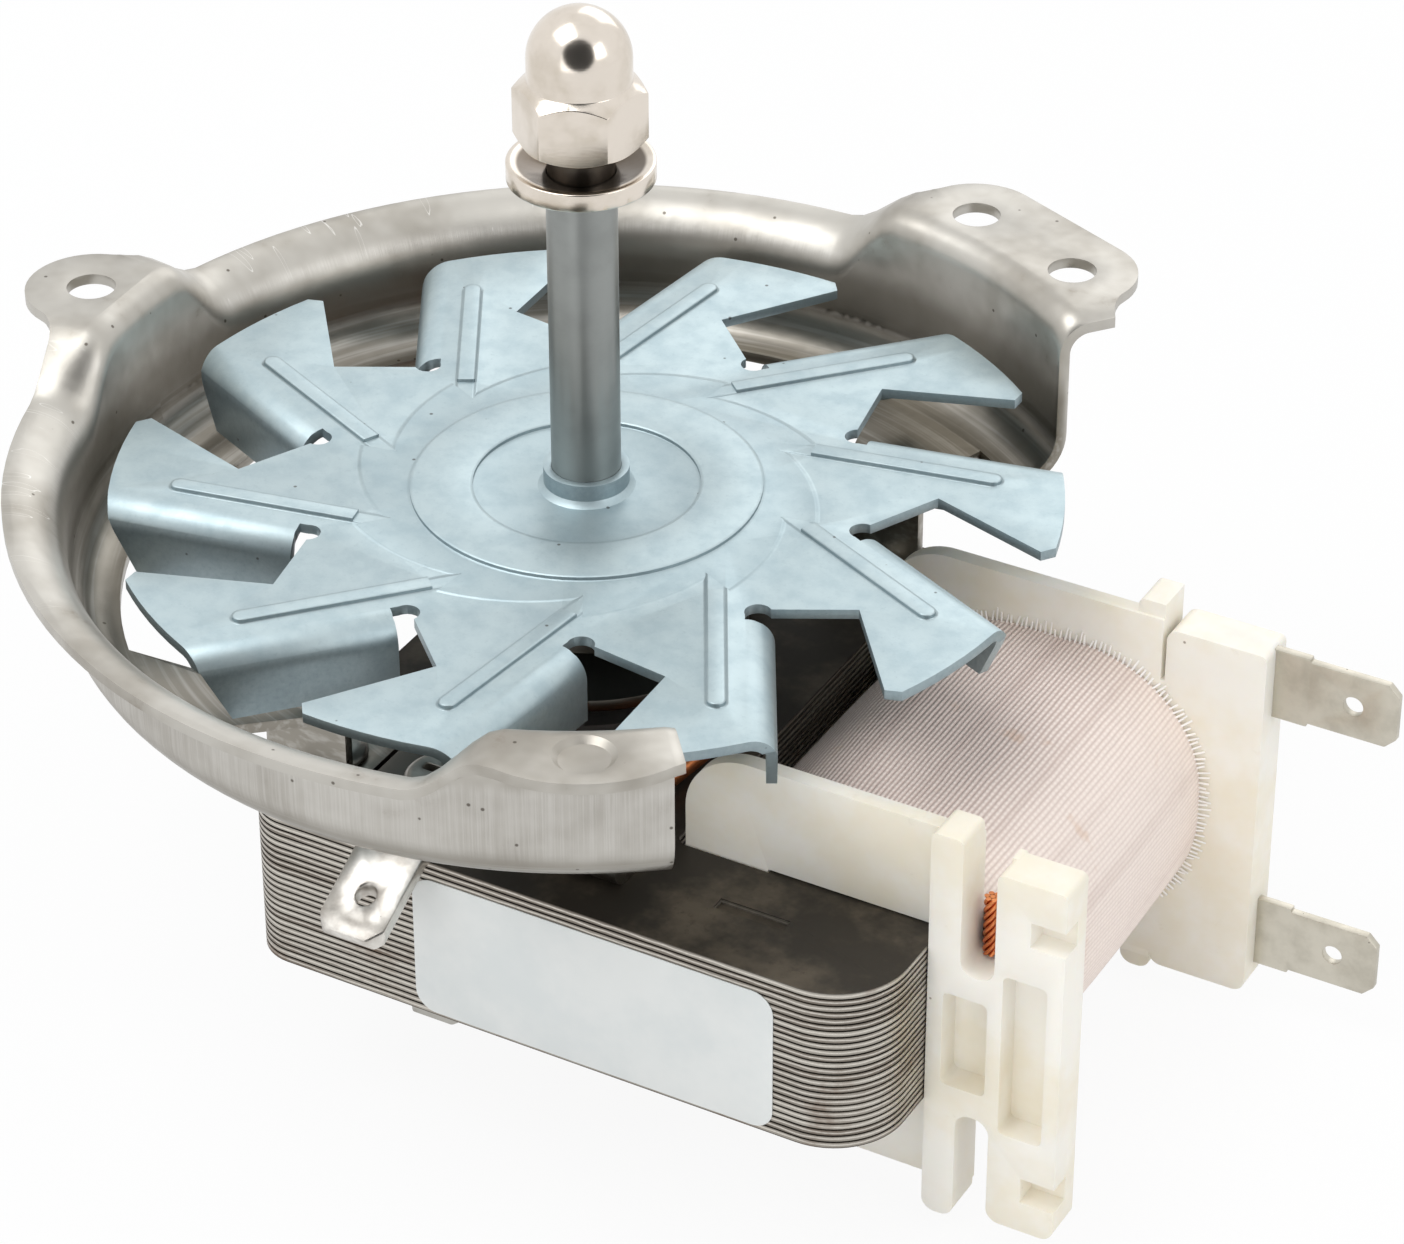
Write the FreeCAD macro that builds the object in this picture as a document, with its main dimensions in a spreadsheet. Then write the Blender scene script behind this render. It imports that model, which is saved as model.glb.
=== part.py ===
import FreeCAD, Part
import math
import os

import Sketcher

# Oven fan motor, in millimetres. The origin is on the shaft axis in the plane of the ears' top
# faces. +Z runs along the shaft to the cap nut and +X to the coil and its terminals.

V = FreeCAD.Vector
doc = FreeCAD.newDocument("OvenFanMotor")
sheet = doc.addObject("Spreadsheet::Sheet", "Sizes")

SIZES = [
    ("shaft_radius", 3.0, "plain shaft"),
    ("thread_radius", 2.85, "threaded end of the shaft"),
    ("washer_seat", 23.5, "shoulder that carries the dished washer"),
    ("shaft_top", 33.6, "upper end of the shaft inside the cap nut"),
    ("end_bevel", 0.5, "bevel at both ends of the shaft"),
    ("fit_gap", 0.03, "radial gap of fits on the shaft"),
    ("run_gap", 0.05, "radial running gap of the shaft in its bushes"),
    ("washer_radius", 6.25, "dished washer"),
    ("washer_height", 1.62, "dished washer"),
    ("washer_rim", 0.55, "width of the washer's flat rim"),
    ("washer_dish", 1.0, "depth of the washer's cone"),
    ("nut_bottom", 26.7, "underside of the cap nut"),
    ("nut_flats", 9.8, "across the flats of the cap nut"),
    ("hex_height", 5.82, "hexagon of the cap nut"),
    ("neck_radius", 4.4, "neck and dome of the cap nut"),
    ("neck_height", 1.98, "neck between hexagon and dome"),
    ("nut_turn", 24.0, "turn of the hexagon at rest, degrees"),
    ("nut_bore_depth", 7.6, "blind thread of the cap nut"),
    ("fan_top", -6.4, "top face of the fan's sheet"),
    ("fan_sheet", 0.9, "sheet of the fan"),
    ("fan_radius", 41.0, "outer radius of the fan's blades"),
    ("fan_phase", 29.4, "turn of the first blade at rest, degrees"),
    ("vane_line", 15.9, "distance of the vanes' bend lines from the axis"),
    ("vane_bend", 2.5, "outer radius of the vanes' bends"),
    ("vane_depth", 6.4, "height of the vanes with their sheet"),
    ("relief_radius", 1.15, "relief hole at the inner end of a bend"),
    ("blade_root", 19.6, "inner ends of the blades' bend lines"),
    ("relief_side", 1.1, "relief hole from the flat's edge"),
    ("relief_along", 0.4, "relief hole from the inner end of the bend line"),
    ("vane_start", 21.1, "inner ends of the vanes"),
    ("vane_slant", 2.4, "slant of the vanes' outer ends"),
    ("notch_place", 30.2, "notch corner's distance from the axis"),
    ("rib_line", 11.0, "distance of the ribs' centre lines from the axis"),
    ("rib_radius", 0.8, "half width of a rib"),
    ("rib_raise", 0.3, "height of ribs and embossed ring"),
    ("rib_start", 17.0, "rib's inner end along its line"),
    ("rib_stop", 33.1, "rib's outer end along its line"),
    ("emboss_inner", 9.8, "embossed ring"),
    ("emboss_outer", 15.2, "embossed ring"),
    ("collar_radius", 3.72, "drawn collar of the fan"),
    ("collar_height", 2.0, "drawn collar above the sheet"),
    ("collar_foot", 0.5, "rounded foot of the collar"),
    ("stack_top", -25.4, "top face of the lamination stack"),
    ("stack_height", 16.0, "lamination stack"),
    ("shaft_under", 11.6, "shaft below the stack"),
    ("shaft_bottom", "=stack_top - stack_height - shaft_under", "lower end of the shaft"),
    ("coil_middle", "=stack_top - stack_height / 2", "middle plane of stack and coil"),
    ("stack_left", -16.0, "end of the stack at the rotor"),
    ("stack_right", 44.3, "end of the stack at the coil"),
    ("stack_half", 31.5, "half width of the stack"),
    ("leg_inner", 19.0, "inner faces of the two legs"),
    ("window_left", 19.3, "left wall of the coil window"),
    ("left_round", 4.0, "outer corners at the rotor end"),
    ("right_round", 6.6, "outer corners at the coil end"),
    ("window_round", 1.2, "inner corners of the coil window"),
    ("mark_left", 26.6, "interlock marks in the stack's legs"),
    ("mark_right", 33.1, "interlock marks in the stack's legs"),
    ("mark_place", 24.7, "interlock marks from the middle plane"),
    ("mark_half", 0.7, "half width of the interlock marks"),
    ("mark_deep", 0.5, "interlock marks"),
    ("sheet_count", 25, "laminations in the stack"),
    ("groove_deep", 0.14, "groove between two laminations"),
    ("groove_high", 0.16, "groove between two laminations"),
    ("air_gap", 0.35, "between rotor and stator bore"),
    ("rotor_radius", 13.0, "rotor core"),
    ("bar_count", 14, "bars of the rotor cage"),
    ("bar_radius", 1.0, "bars of the rotor cage"),
    ("bar_place", 10.9, "bars' distance from the axis"),
    ("ring_high", 2.4, "end rings of the rotor cage"),
    ("ring_inner", 7.0, "end rings of the rotor cage"),
    ("ring_outer", 12.5, "end rings of the rotor cage"),
    ("core_left", 28.3, "left face of the straight coil core"),
    ("tube_gap", 0.15, "between coil core and bobbin"),
    ("tube_wall", 1.0, "bobbin tube"),
    ("flange_face", 18.8, "outer faces of the bobbin's flanges"),
    ("flange_thick", 1.5, "bobbin's flanges"),
    ("flange_left", 20.3, "left edge of the flanges"),
    ("flange_right", 52.0, "right edge of the flanges"),
    ("flange_over", 10.0, "flanges beyond the coil core, up and down"),
    ("flange_top", "=stack_top + flange_over", "top of the flanges"),
    ("flange_low", "=stack_top - stack_height - flange_over", "bottom of the flanges"),
    ("flange_round", 6.0, "left corners of the flanges"),
    ("flange_turn", 3.0, "right corners of the flanges"),
    ("block_inner", 17.6, "inner face of the terminal blocks"),
    ("block_outer", 21.4, "outer face of the terminal blocks"),
    ("block_right", 56.6, "right face of the terminal blocks"),
    ("block_in", 0.7, "top of the terminal blocks below the flanges' top"),
    ("block_top", "=flange_top - block_in", "top of the terminal blocks"),
    ("block_under", 0.5, "bottom of the terminal blocks below the flanges"),
    ("block_bottom", "=flange_low - block_under", "bottom of the terminal blocks"),
    ("post_left", 44.4, "left face of the wire post"),
    ("post_over", 1.4, "wire post above the flanges"),
    ("post_top", "=flange_top + post_over", "top of the wire post"),
    ("prong_under", 1.6, "lower prong below the flanges"),
    ("prong_bottom", "=flange_low - prong_under", "tip of the lower prong"),
    ("notch_left", 47.3, "left wall of the wire notch"),
    ("notch_right", 50.4, "right wall of the wire notch"),
    ("notch_over", 6.2, "floor of the wire notch above the middle plane"),
    ("notch_floor", "=coil_middle + notch_over", "floor of the wire notch"),
    ("slot_under", 8.3, "top of the prongs' slot below the middle plane"),
    ("slot_top", "=coil_middle - slot_under", "top of the slot between the prongs"),
    ("notch_round", 1.4, "rounds in the notch and the slot"),
    ("block_round", 1.2, "outer corners of the block"),
    ("slit_wide", 0.4, "slit between the far wire post and its block"),
    ("slit_over", 11.9, "floor of the slit above the middle plane"),
    ("pocket_deep", 2.5, "pockets in the block's outer face"),
    ("pocket_round", 0.6, "corners of the pockets"),
    ("small_left", 45.8, "small pocket"),
    ("small_right", 49.9, "small pocket"),
    ("small_over", 3.8, "small pocket above the middle plane"),
    ("small_under", 5.7, "small pocket below the middle plane"),
    ("small_top", "=coil_middle + small_over", "small pocket"),
    ("small_bottom", "=coil_middle - small_under", "small pocket"),
    ("tall_left", 51.2, "tall pocket"),
    ("tall_right", 55.2, "tall pocket"),
    ("tall_over", 7.4, "tall pocket above the middle plane"),
    ("tall_under", 8.9, "tall pocket below the middle plane"),
    ("tall_top", "=coil_middle + tall_over", "tall pocket"),
    ("tall_bottom", "=coil_middle - tall_under", "tall pocket"),
    ("hook_left", 53.5, "hook slots at the block's right edge"),
    ("hook_high", 2.5, "hook slots"),
    ("hook_deep", 2.2, "hook slots"),
    ("coil_place", "=( core_left + stack_right ) / 2", "coil's centre from the shaft axis"),
    ("coil_beside", 7.0, "taped coil beyond the core, sideways"),
    ("coil_over", 5.35, "taped coil beyond the core, up and down"),
    ("coil_half_wide", "=( stack_right - core_left ) / 2 + coil_beside", "taped coil, half width"),
    ("coil_half_high", "=stack_height / 2 + coil_over", "taped coil, half height"),
    ("coil_flat", 1.35, "half of the straight stretch at the coil's side"),
    ("coil_round", "=coil_half_high - coil_flat", "rounded corners of the coil's section"),
    ("coil_crown", 0.35, "how much the coil swells at its middle"),
    ("tape_thick", 0.45, "woven tape"),
    ("lead_radius", 0.75, "twisted copper lead"),
    ("lead_length", 5.6, "lead's length in the wire notch"),
    ("lead_side", 0.4, "lead's place beside the middle of its notch"),
    ("tab_middle", 19.6, "middle plane of the terminals"),
    ("tab_thick", 0.8, "terminals"),
    ("tab_high", 6.3, "blade of the terminals"),
    ("tab_root_high", 7.0, "root of the terminals"),
    ("tab_root_left", 51.6, "inner end of the terminals"),
    ("tab_step", 59.8, "step from root to blade"),
    ("tab_end", 68.0, "outer end of the terminals"),
    ("tab_bevel", 1.0, "corners of the blade"),
    ("tab_hole", 0.9, "hole radius in a terminal"),
    ("tab_hole_place", 63.9, "hole in a terminal"),
    ("tab_upper_in", 4.4, "upper terminal below the flanges' top"),
    ("tab_lower_in", 5.1, "lower terminal above the flanges' bottom"),
    ("tab_upper", "=flange_top - tab_upper_in", "middle of the upper terminal"),
    ("tab_lower", "=flange_low + tab_lower_in", "middle of the lower terminal"),
    ("label_left", 1.2, "rating label"),
    ("label_right", 35.6, "rating label"),
    ("label_in", 1.8, "rating label below the stack's top"),
    ("label_up", 0.3, "rating label above the stack's bottom"),
    ("label_top", "=stack_top - label_in", "rating label"),
    ("label_bottom", "=stack_top - stack_height + label_up", "rating label"),
    ("label_round", 2.0, "corners of the label"),
    ("label_thick", 0.12, "rating label"),
    ("bracket_sheet", 1.2, "sheet of the bearing brackets"),
    ("bracket_half_wide", 7.0, "half width of a bearing bracket"),
    ("bracket_reach", 29.6, "ends of a bearing bracket"),
    ("bracket_foot", 19.5, "inner edge of a bracket's foot"),
    ("bracket_shoulder", 15.5, "outer edge of a bracket's bridge"),
    ("bracket_rise", 4.8, "bridge's underside over the stack"),
    ("boss_wall", 1.2, "wall of the bearing boss"),
    ("boss_high", 7.8, "bearing boss above the bridge's underside"),
    ("bush_radius", 5.6, "sintered bush"),
    ("bush_high", 6.0, "sintered bush"),
    ("bush_bevel", 0.5, "bevels of the bush"),
    ("felt_gap", 0.35, "felt ring's gap on the shaft"),
    ("felt_high", 1.3, "felt ring"),
    ("clip_high", 0.4, "retaining disc of the bearing"),
    ("thrust_radius", 5.0, "thrust washers"),
    ("thrust_high", 0.6, "thrust washers"),
    ("screw_place", 24.0, "bracket screws' distance from the axis"),
    ("screw_radius", 2.0, "bracket screws"),
    ("screw_head_radius", 3.6, "bracket screws"),
    ("screw_head_high", 2.4, "bracket screws"),
    ("screw_gap", 0.15, "bracket screws in their holes"),
    ("screw_recess", 1.1, "cross recess of the bracket screws"),
    ("cross_long", 4.0, "cross recess of the bracket screws"),
    ("cross_wide", 0.9, "cross recess of the bracket screws"),
    ("nut_wide", 7.0, "bracket nuts across the flats"),
    ("nut_high", 3.2, "bracket nuts"),
    ("screw_over", 0.8, "screw's end beyond its nut"),
    ("earth_half", 3.15, "half width of the earth tab"),
    ("earth_angle", 29.0, "fall of the earth tab, degrees"),
    ("earth_long", 8.6, "earth tab from its bend"),
    ("earth_bend", 32.6, "bend of the earth tab from the axis"),
    ("earth_hole", 0.9, "hole radius in the earth tab"),
    ("earth_hole_place", 4.6, "hole's distance from the bend"),
    ("earth_bevel", 1.2, "corners of the earth tab"),
    ("ring_wire", 0.95, "radius of the shading rings' bar"),
    ("ring_gap", 0.08, "shading ring in its hole"),
    ("ring_over", 0.3, "shading ring's gap over the stack"),
    ("frame_sheet", 1.0, "sheet of the mounting frame"),
    ("fan_clearance", 3.6, "between the fan's blades and the frame's wall"),
    ("wall_inner", "=fan_radius + fan_clearance", "inside of the frame's wall"),
    ("brim_wide", 5.2, "edge of the frame's brim beyond the wall's inside"),
    ("brim_radius", "=wall_inner + brim_wide", "edge of the frame's brim"),
    ("brim_top", -4.4, "top of the brim"),
    ("brim_bend", 5.0, "inner radius of the brim's bend"),
    ("ear_bend", 2.4, "inner radius of the bend at an ear"),
    ("floor_top", -15.75, "top of the frame's floor"),
    ("floor_bend", 4.0, "inner radius of the bend at the floor"),
    ("floor_wide", 4.1, "width of the frame's floor"),
    ("floor_inner", "=wall_inner - floor_wide", "inner edge of the frame's floor"),
    ("open_angle", 50.9, "half angle of the frame's open side"),
    ("ear_out", 5.4, "ear holes beyond the wall's inside"),
    ("ear_place", "=wall_inner + ear_out", "ear holes' distance from the axis"),
    ("ear_hole", 2.2, "ear holes, radius"),
    ("ear_radius", 5.9, "round of an ear with a hole"),
    ("left_ear", 182.0, "left ear, degrees"),
    ("side_ear", 60.0, "side ear's first hole, degrees"),
    ("side_pitch", 15.0, "between the side ear's two holes, degrees"),
    ("front_ear", -59.7, "front ear, degrees"),
    ("front_flat", 7.8, "half of the front ear's flat stretch, degrees"),
    ("front_pad_radius", 12.0, "round of the front ear"),
    ("front_pad_in", 3.2, "centre of the front ear's round inside the wall"),
    ("front_pad_place", "=wall_inner - front_pad_in", "front ear's round, from the axis"),
    ("dimple_out", 4.8, "dimple beyond the wall's inside"),
    ("dimple_place", "=wall_inner + dimple_out", "dimple's distance from the axis"),
    ("dimple_radius", 2.6, "pressed dimple of the front ear"),
    ("dimple_deep", 0.5, "pressed dimple of the front ear"),
    ("ear_rise", 9.0, "turn over which the brim climbs to an ear, degrees"),
    ("leg_front_angle", 70.0, "frame legs at the coil side, degrees"),
    ("leg_back_angle", 126.0, "frame legs at the rotor side, degrees"),
    ("leg_front_x", 14.6, "middle of the coil-side legs"),
    ("leg_back_x", -11.5, "middle of the rotor-side legs"),
    ("leg_rivet_y", 23.2, "rivets of the frame legs"),
    ("leg_front_wide", 8.0, "width of the coil-side legs"),
    ("leg_back_wide", 8.0, "width of the rotor-side legs"),
    ("leg_spread", 10.0, "half angle of a leg at the floor's edge, degrees"),
    ("leg_foot", 3.6, "inner end of a foot from its rivet"),
    ("leg_drop", 26.6, "inner faces of the legs' risers"),
    ("leg_bend", 0.8, "inner radius of the legs' bends"),
    ("rivet_radius", 1.6, "frame rivets"),
    ("rivet_head", 2.8, "frame rivets' heads"),
    ("rivet_head_high", 1.1, "frame rivets' heads"),
    ("rivet_gap", 0.1, "rivets in their holes"),
    ("lobe_long", 3.5, "floor's left lobe"),
    ("lobe_inner", "=floor_inner - lobe_long", "inner edge of the floor's left lobe"),
    ("lobe_half", 9.0, "half angle of the left lobe"),
]

for row, (alias, value, note) in enumerate(SIZES, start=1):
    sheet.set(f"A{row}", note)
    sheet.set(f"B{row}", str(value))
    sheet.setAlias(f"B{row}", alias)
doc.recompute()


def mm(alias):
    """A size from the sheet."""
    return float(getattr(sheet, alias))


def cell(text):
    """An expression with each size's alias led by the sheet's name."""
    words = []
    for word in text.split():
        is_alias = word in ALIASES
        words.append(f"Sizes.{word}" if is_alias else word)
    return " ".join(words)


ALIASES = {alias for alias, value, note in SIZES}


def worth(text):
    """The value of an expression in the sheet's aliases."""
    return float(sheet.evalExpression(cell(text)))


def new_body(name):
    """An empty body that carries one piece."""
    body = doc.addObject("PartDesign::Body", name)
    body.Label = name
    return body


def new_sketch(body, plane, offset=None):
    """A sketch on one of the body's origin planes, moved along the plane's normal."""
    sketch = body.newObject("Sketcher::SketchObject", f"{body.Name}_sketch")
    for feature in body.Origin.OriginFeatures:
        if feature.Role == plane:
            sketch.AttachmentSupport = [(feature, "")]
    sketch.MapMode = "FlatFace"
    if offset is not None:
        sketch.setExpression("AttachmentOffset.Base.z", cell(offset))
    doc.recompute()
    return sketch


def bind(sketch, constraint, text):
    """Adds a dimension and ties it to the sheet."""
    index = sketch.addConstraint(constraint)
    sketch.setExpression(f"Constraints[{index}]", cell(text))


def polygon(sketch, corners):
    """A closed outline of straight lines through corners given as expressions."""
    spots = [V(worth(x), worth(y), 0) for x, y in corners]
    first = sketch.GeometryCount
    count = len(spots)
    for k in range(count):
        sketch.addGeometry(Part.LineSegment(spots[k], spots[(k + 1) % count]))
    for k in range(count):
        here = first + k
        there = first + (k + 1) % count
        sketch.addConstraint(Sketcher.Constraint("Coincident", here, 2, there, 1))
        bind(sketch, Sketcher.Constraint("DistanceX", -1, 1, here, 1, spots[k].x), corners[k][0])
        bind(sketch, Sketcher.Constraint("DistanceY", -1, 1, here, 1, spots[k].y), corners[k][1])


def square_outline(sketch, corners):
    """A closed outline of level and upright lines, counter-clockwise, with rounded corners.

    Each corner is (x, y, radius), with None as the radius of a sharp one.
    """
    count = len(corners)
    spots = [V(worth(x), worth(y), 0) for x, y, radius in corners]
    radii = [0.0 if radius is None else worth(radius) for x, y, radius in corners]
    ways = []
    for k in range(count):
        way = spots[(k + 1) % count] - spots[k]
        ways.append(way.normalize())
    lines = []
    for k in range(count):
        after = (k + 1) % count
        start = spots[k] + ways[k] * radii[k]
        stop = spots[after] - ways[k] * radii[after]
        lines.append(sketch.addGeometry(Part.LineSegment(start, stop)))
    for k in range(count):
        level = abs(ways[k].y) < abs(ways[k].x)
        kind = "Horizontal" if level else "Vertical"
        sketch.addConstraint(Sketcher.Constraint(kind, lines[k]))
        axis = "DistanceY" if level else "DistanceX"
        place = spots[k].y if level else spots[k].x
        text = corners[k][1] if level else corners[k][0]
        bind(sketch, Sketcher.Constraint(axis, -1, 1, lines[k], 1, place), text)
    for k in range(count):
        before = lines[k - 1]
        if radii[k] == 0.0:
            sketch.addConstraint(Sketcher.Constraint("Coincident", before, 2, lines[k], 1))
            continue
        inward = ways[k] - ways[k - 1]
        centre = spots[k] + inward * radii[k]
        from_before = spots[k] - ways[k - 1] * radii[k] - centre
        from_after = spots[k] + ways[k] * radii[k] - centre
        turns_left = (ways[k - 1].cross(ways[k])).z > 0
        start, stop = (from_before, from_after) if turns_left else (from_after, from_before)
        low = math.atan2(start.y, start.x)
        high = math.atan2(stop.y, stop.x)
        if high < low:
            high += 2 * math.pi
        circle = Part.Circle(centre, V(0, 0, 1), radii[k])
        arc = sketch.addGeometry(Part.ArcOfCircle(circle, low, high))
        first_end, last_end = (1, 2) if turns_left else (2, 1)
        sketch.addConstraint(Sketcher.Constraint("Tangent", before, 2, arc, first_end))
        sketch.addConstraint(Sketcher.Constraint("Tangent", arc, last_end, lines[k], 1))
        bind(sketch, Sketcher.Constraint("Radius", arc, radii[k]), corners[k][2])


def circle(sketch, x, y, radius):
    """A full circle whose centre and radius are expressions."""
    centre = V(worth(x), worth(y), 0)
    index = sketch.addGeometry(Part.Circle(centre, V(0, 0, 1), worth(radius)))
    bind(sketch, Sketcher.Constraint("DistanceX", -1, 1, index, 3, centre.x), x)
    bind(sketch, Sketcher.Constraint("DistanceY", -1, 1, index, 3, centre.y), y)
    bind(sketch, Sketcher.Constraint("Radius", index, worth(radius)), radius)


def pad(body, sketch, length, against=False, midplane=False):
    """Extrudes a sketch by a length given as an expression."""
    feature = body.newObject("PartDesign::Pad", f"{body.Name}_pad")
    feature.Profile = sketch
    feature.setExpression("Length", cell(length))
    feature.Reversed = against
    feature.Midplane = midplane
    doc.recompute()
    return feature


def pocket(body, sketch, length, against=False, midplane=False):
    """Cuts a sketch into a body, and insists that the body gets smaller."""
    before = body.Shape.Volume
    feature = body.newObject("PartDesign::Pocket", f"{body.Name}_pocket")
    feature.Profile = sketch
    feature.setExpression("Length", cell(length))
    feature.Reversed = against
    feature.Midplane = midplane
    doc.recompute()
    if body.Shape.Volume >= before:
        raise RuntimeError(f"{body.Name}: a pocket cuts nothing")
    return feature


def turned(name, corners):
    """A piece turned about Z from a half section of (radius, height) expressions."""
    body = new_body(name)
    sketch = new_sketch(body, "XZ_Plane")
    polygon(sketch, corners)
    revolution = body.newObject("PartDesign::Revolution", f"{name}_turn")
    revolution.Profile = sketch
    revolution.ReferenceAxis = (sketch, ["V_Axis"])
    revolution.Angle = 360
    doc.recompute()
    return body


def ring(name, inner, outer, bottom, top):
    """A plain ring about Z."""
    return turned(name, [(inner, bottom), (outer, bottom), (outer, top), (inner, top)])


def polar(body, features, count):
    """Repeats features evenly about Z."""
    pattern = body.newObject("PartDesign::PolarPattern", f"{body.Name}_polar")
    pattern.Originals = features
    pattern.Axis = (features[0].Profile[0], ["N_Axis"])
    pattern.Angle = 360
    pattern.setExpression("Occurrences", cell(count))
    body.Tip = pattern
    doc.recompute()
    return pattern


def solid(name, shape):
    """A piece whose shape is worked out from the sheet's sizes."""
    feature = doc.addObject("Part::Feature", name)
    feature.Label = name
    feature.Shape = shape
    return feature


def polar_spot(radius, degrees, height=0.0):
    """A point from its distance to the axis and its angle."""
    angle = math.radians(degrees)
    return V(radius * math.cos(angle), radius * math.sin(angle), height)


def prism(points, height):
    """An upright solid on a polygon."""
    wire = Part.makePolygon(points + [points[0]])
    return Part.Face(wire).extrude(V(0, 0, height))


def make_shaft():
    """One turned bar with a shoulder under its threaded end."""
    turned("shaft", [
        ("0", "shaft_bottom"),
        ("shaft_radius - end_bevel", "shaft_bottom"),
        ("shaft_radius", "shaft_bottom + end_bevel"),
        ("shaft_radius", "washer_seat"),
        ("thread_radius", "washer_seat"),
        ("thread_radius", "shaft_top - end_bevel"),
        ("thread_radius - end_bevel", "shaft_top"),
        ("0", "shaft_top"),
    ])


def make_dished_washer():
    """A thick washer with a conical dish in its top."""
    top = "washer_seat + washer_height"
    turned("dished_washer", [
        ("thread_radius + fit_gap", "washer_seat"),
        ("washer_radius", "washer_seat"),
        ("washer_radius", top),
        ("washer_radius - washer_rim", top),
        ("thread_radius + fit_gap", f"{top} - washer_dish"),
    ])


def make_cap_nut():
    """A hexagon with bevelled corners, a neck and a dome, bored from below."""
    hexagon = doc.addObject("Part::Prism", "nut_hexagon")
    hexagon.Polygon = 6
    hexagon.setExpression("Circumradius", "Sizes.nut_flats / sqrt(3)")
    hexagon.setExpression("Height", "Sizes.hex_height")
    hexagon.setExpression("Placement.Base.z", "Sizes.nut_bottom")
    hexagon.setExpression("Placement.Rotation.Angle", "Sizes.nut_turn * 1 deg")
    hex_top = "nut_bottom + hex_height"
    bevel = turned("nut_bevel", [
        ("0", "nut_bottom"),
        ("nut_flats * 0.47", "nut_bottom"),
        ("nut_flats * 0.6", "nut_bottom + nut_flats * 0.09"),
        ("nut_flats * 0.6", f"{hex_top} - ( nut_flats * 0.6 - neck_radius ) * 0.84"),
        ("neck_radius", hex_top),
        ("0", hex_top),
    ])
    faced = doc.addObject("Part::Common", "nut_faced")
    faced.Base = hexagon
    faced.Tool = bevel
    neck = doc.addObject("Part::Cylinder", "nut_neck")
    neck.setExpression("Radius", "Sizes.neck_radius")
    neck.setExpression("Height", "Sizes.hex_height + Sizes.neck_height")
    neck.setExpression("Placement.Base.z", "Sizes.nut_bottom")
    dome = doc.addObject("Part::Sphere", "nut_dome")
    dome.setExpression("Radius", "Sizes.neck_radius")
    dome.setExpression("Placement.Base.z", "Sizes.nut_bottom + Sizes.hex_height + Sizes.neck_height")
    dome.Angle1 = 0
    whole = doc.addObject("Part::MultiFuse", "nut_whole")
    whole.Shapes = [faced, neck, dome]
    bore = doc.addObject("Part::Cylinder", "nut_bore")
    bore.setExpression("Radius", "Sizes.thread_radius + Sizes.fit_gap")
    bore.setExpression("Height", "Sizes.nut_bore_depth")
    bore.setExpression("Placement.Base.z", "Sizes.nut_bottom")
    nut = doc.addObject("Part::Cut", "cap_nut")
    nut.Label = "cap_nut"
    nut.Base = whole
    nut.Tool = bore


def blade_points():
    """The corners of the first blade's flat part, clockwise from its bend's inner end."""
    phase = mm("fan_phase")
    flat_edge = mm("vane_line") - mm("vane_bend")
    reach = math.sqrt(mm("fan_radius") ** 2 - flat_edge ** 2)
    bend = FreeCAD.Rotation(V(0, 0, 1), phase)
    inner = bend.multVec(V(-flat_edge, mm("blade_root"), 0))
    outer = bend.multVec(V(-flat_edge, reach, 0))
    tip_turn = 92.0 + phase
    tip = [polar_spot(mm("fan_radius"), tip_turn + 1.3), polar_spot(mm("fan_radius") - 1.1, tip_turn)]
    notch = polar_spot(mm("notch_place"), 103.2 + phase)
    return inner, outer, tip, notch


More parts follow.
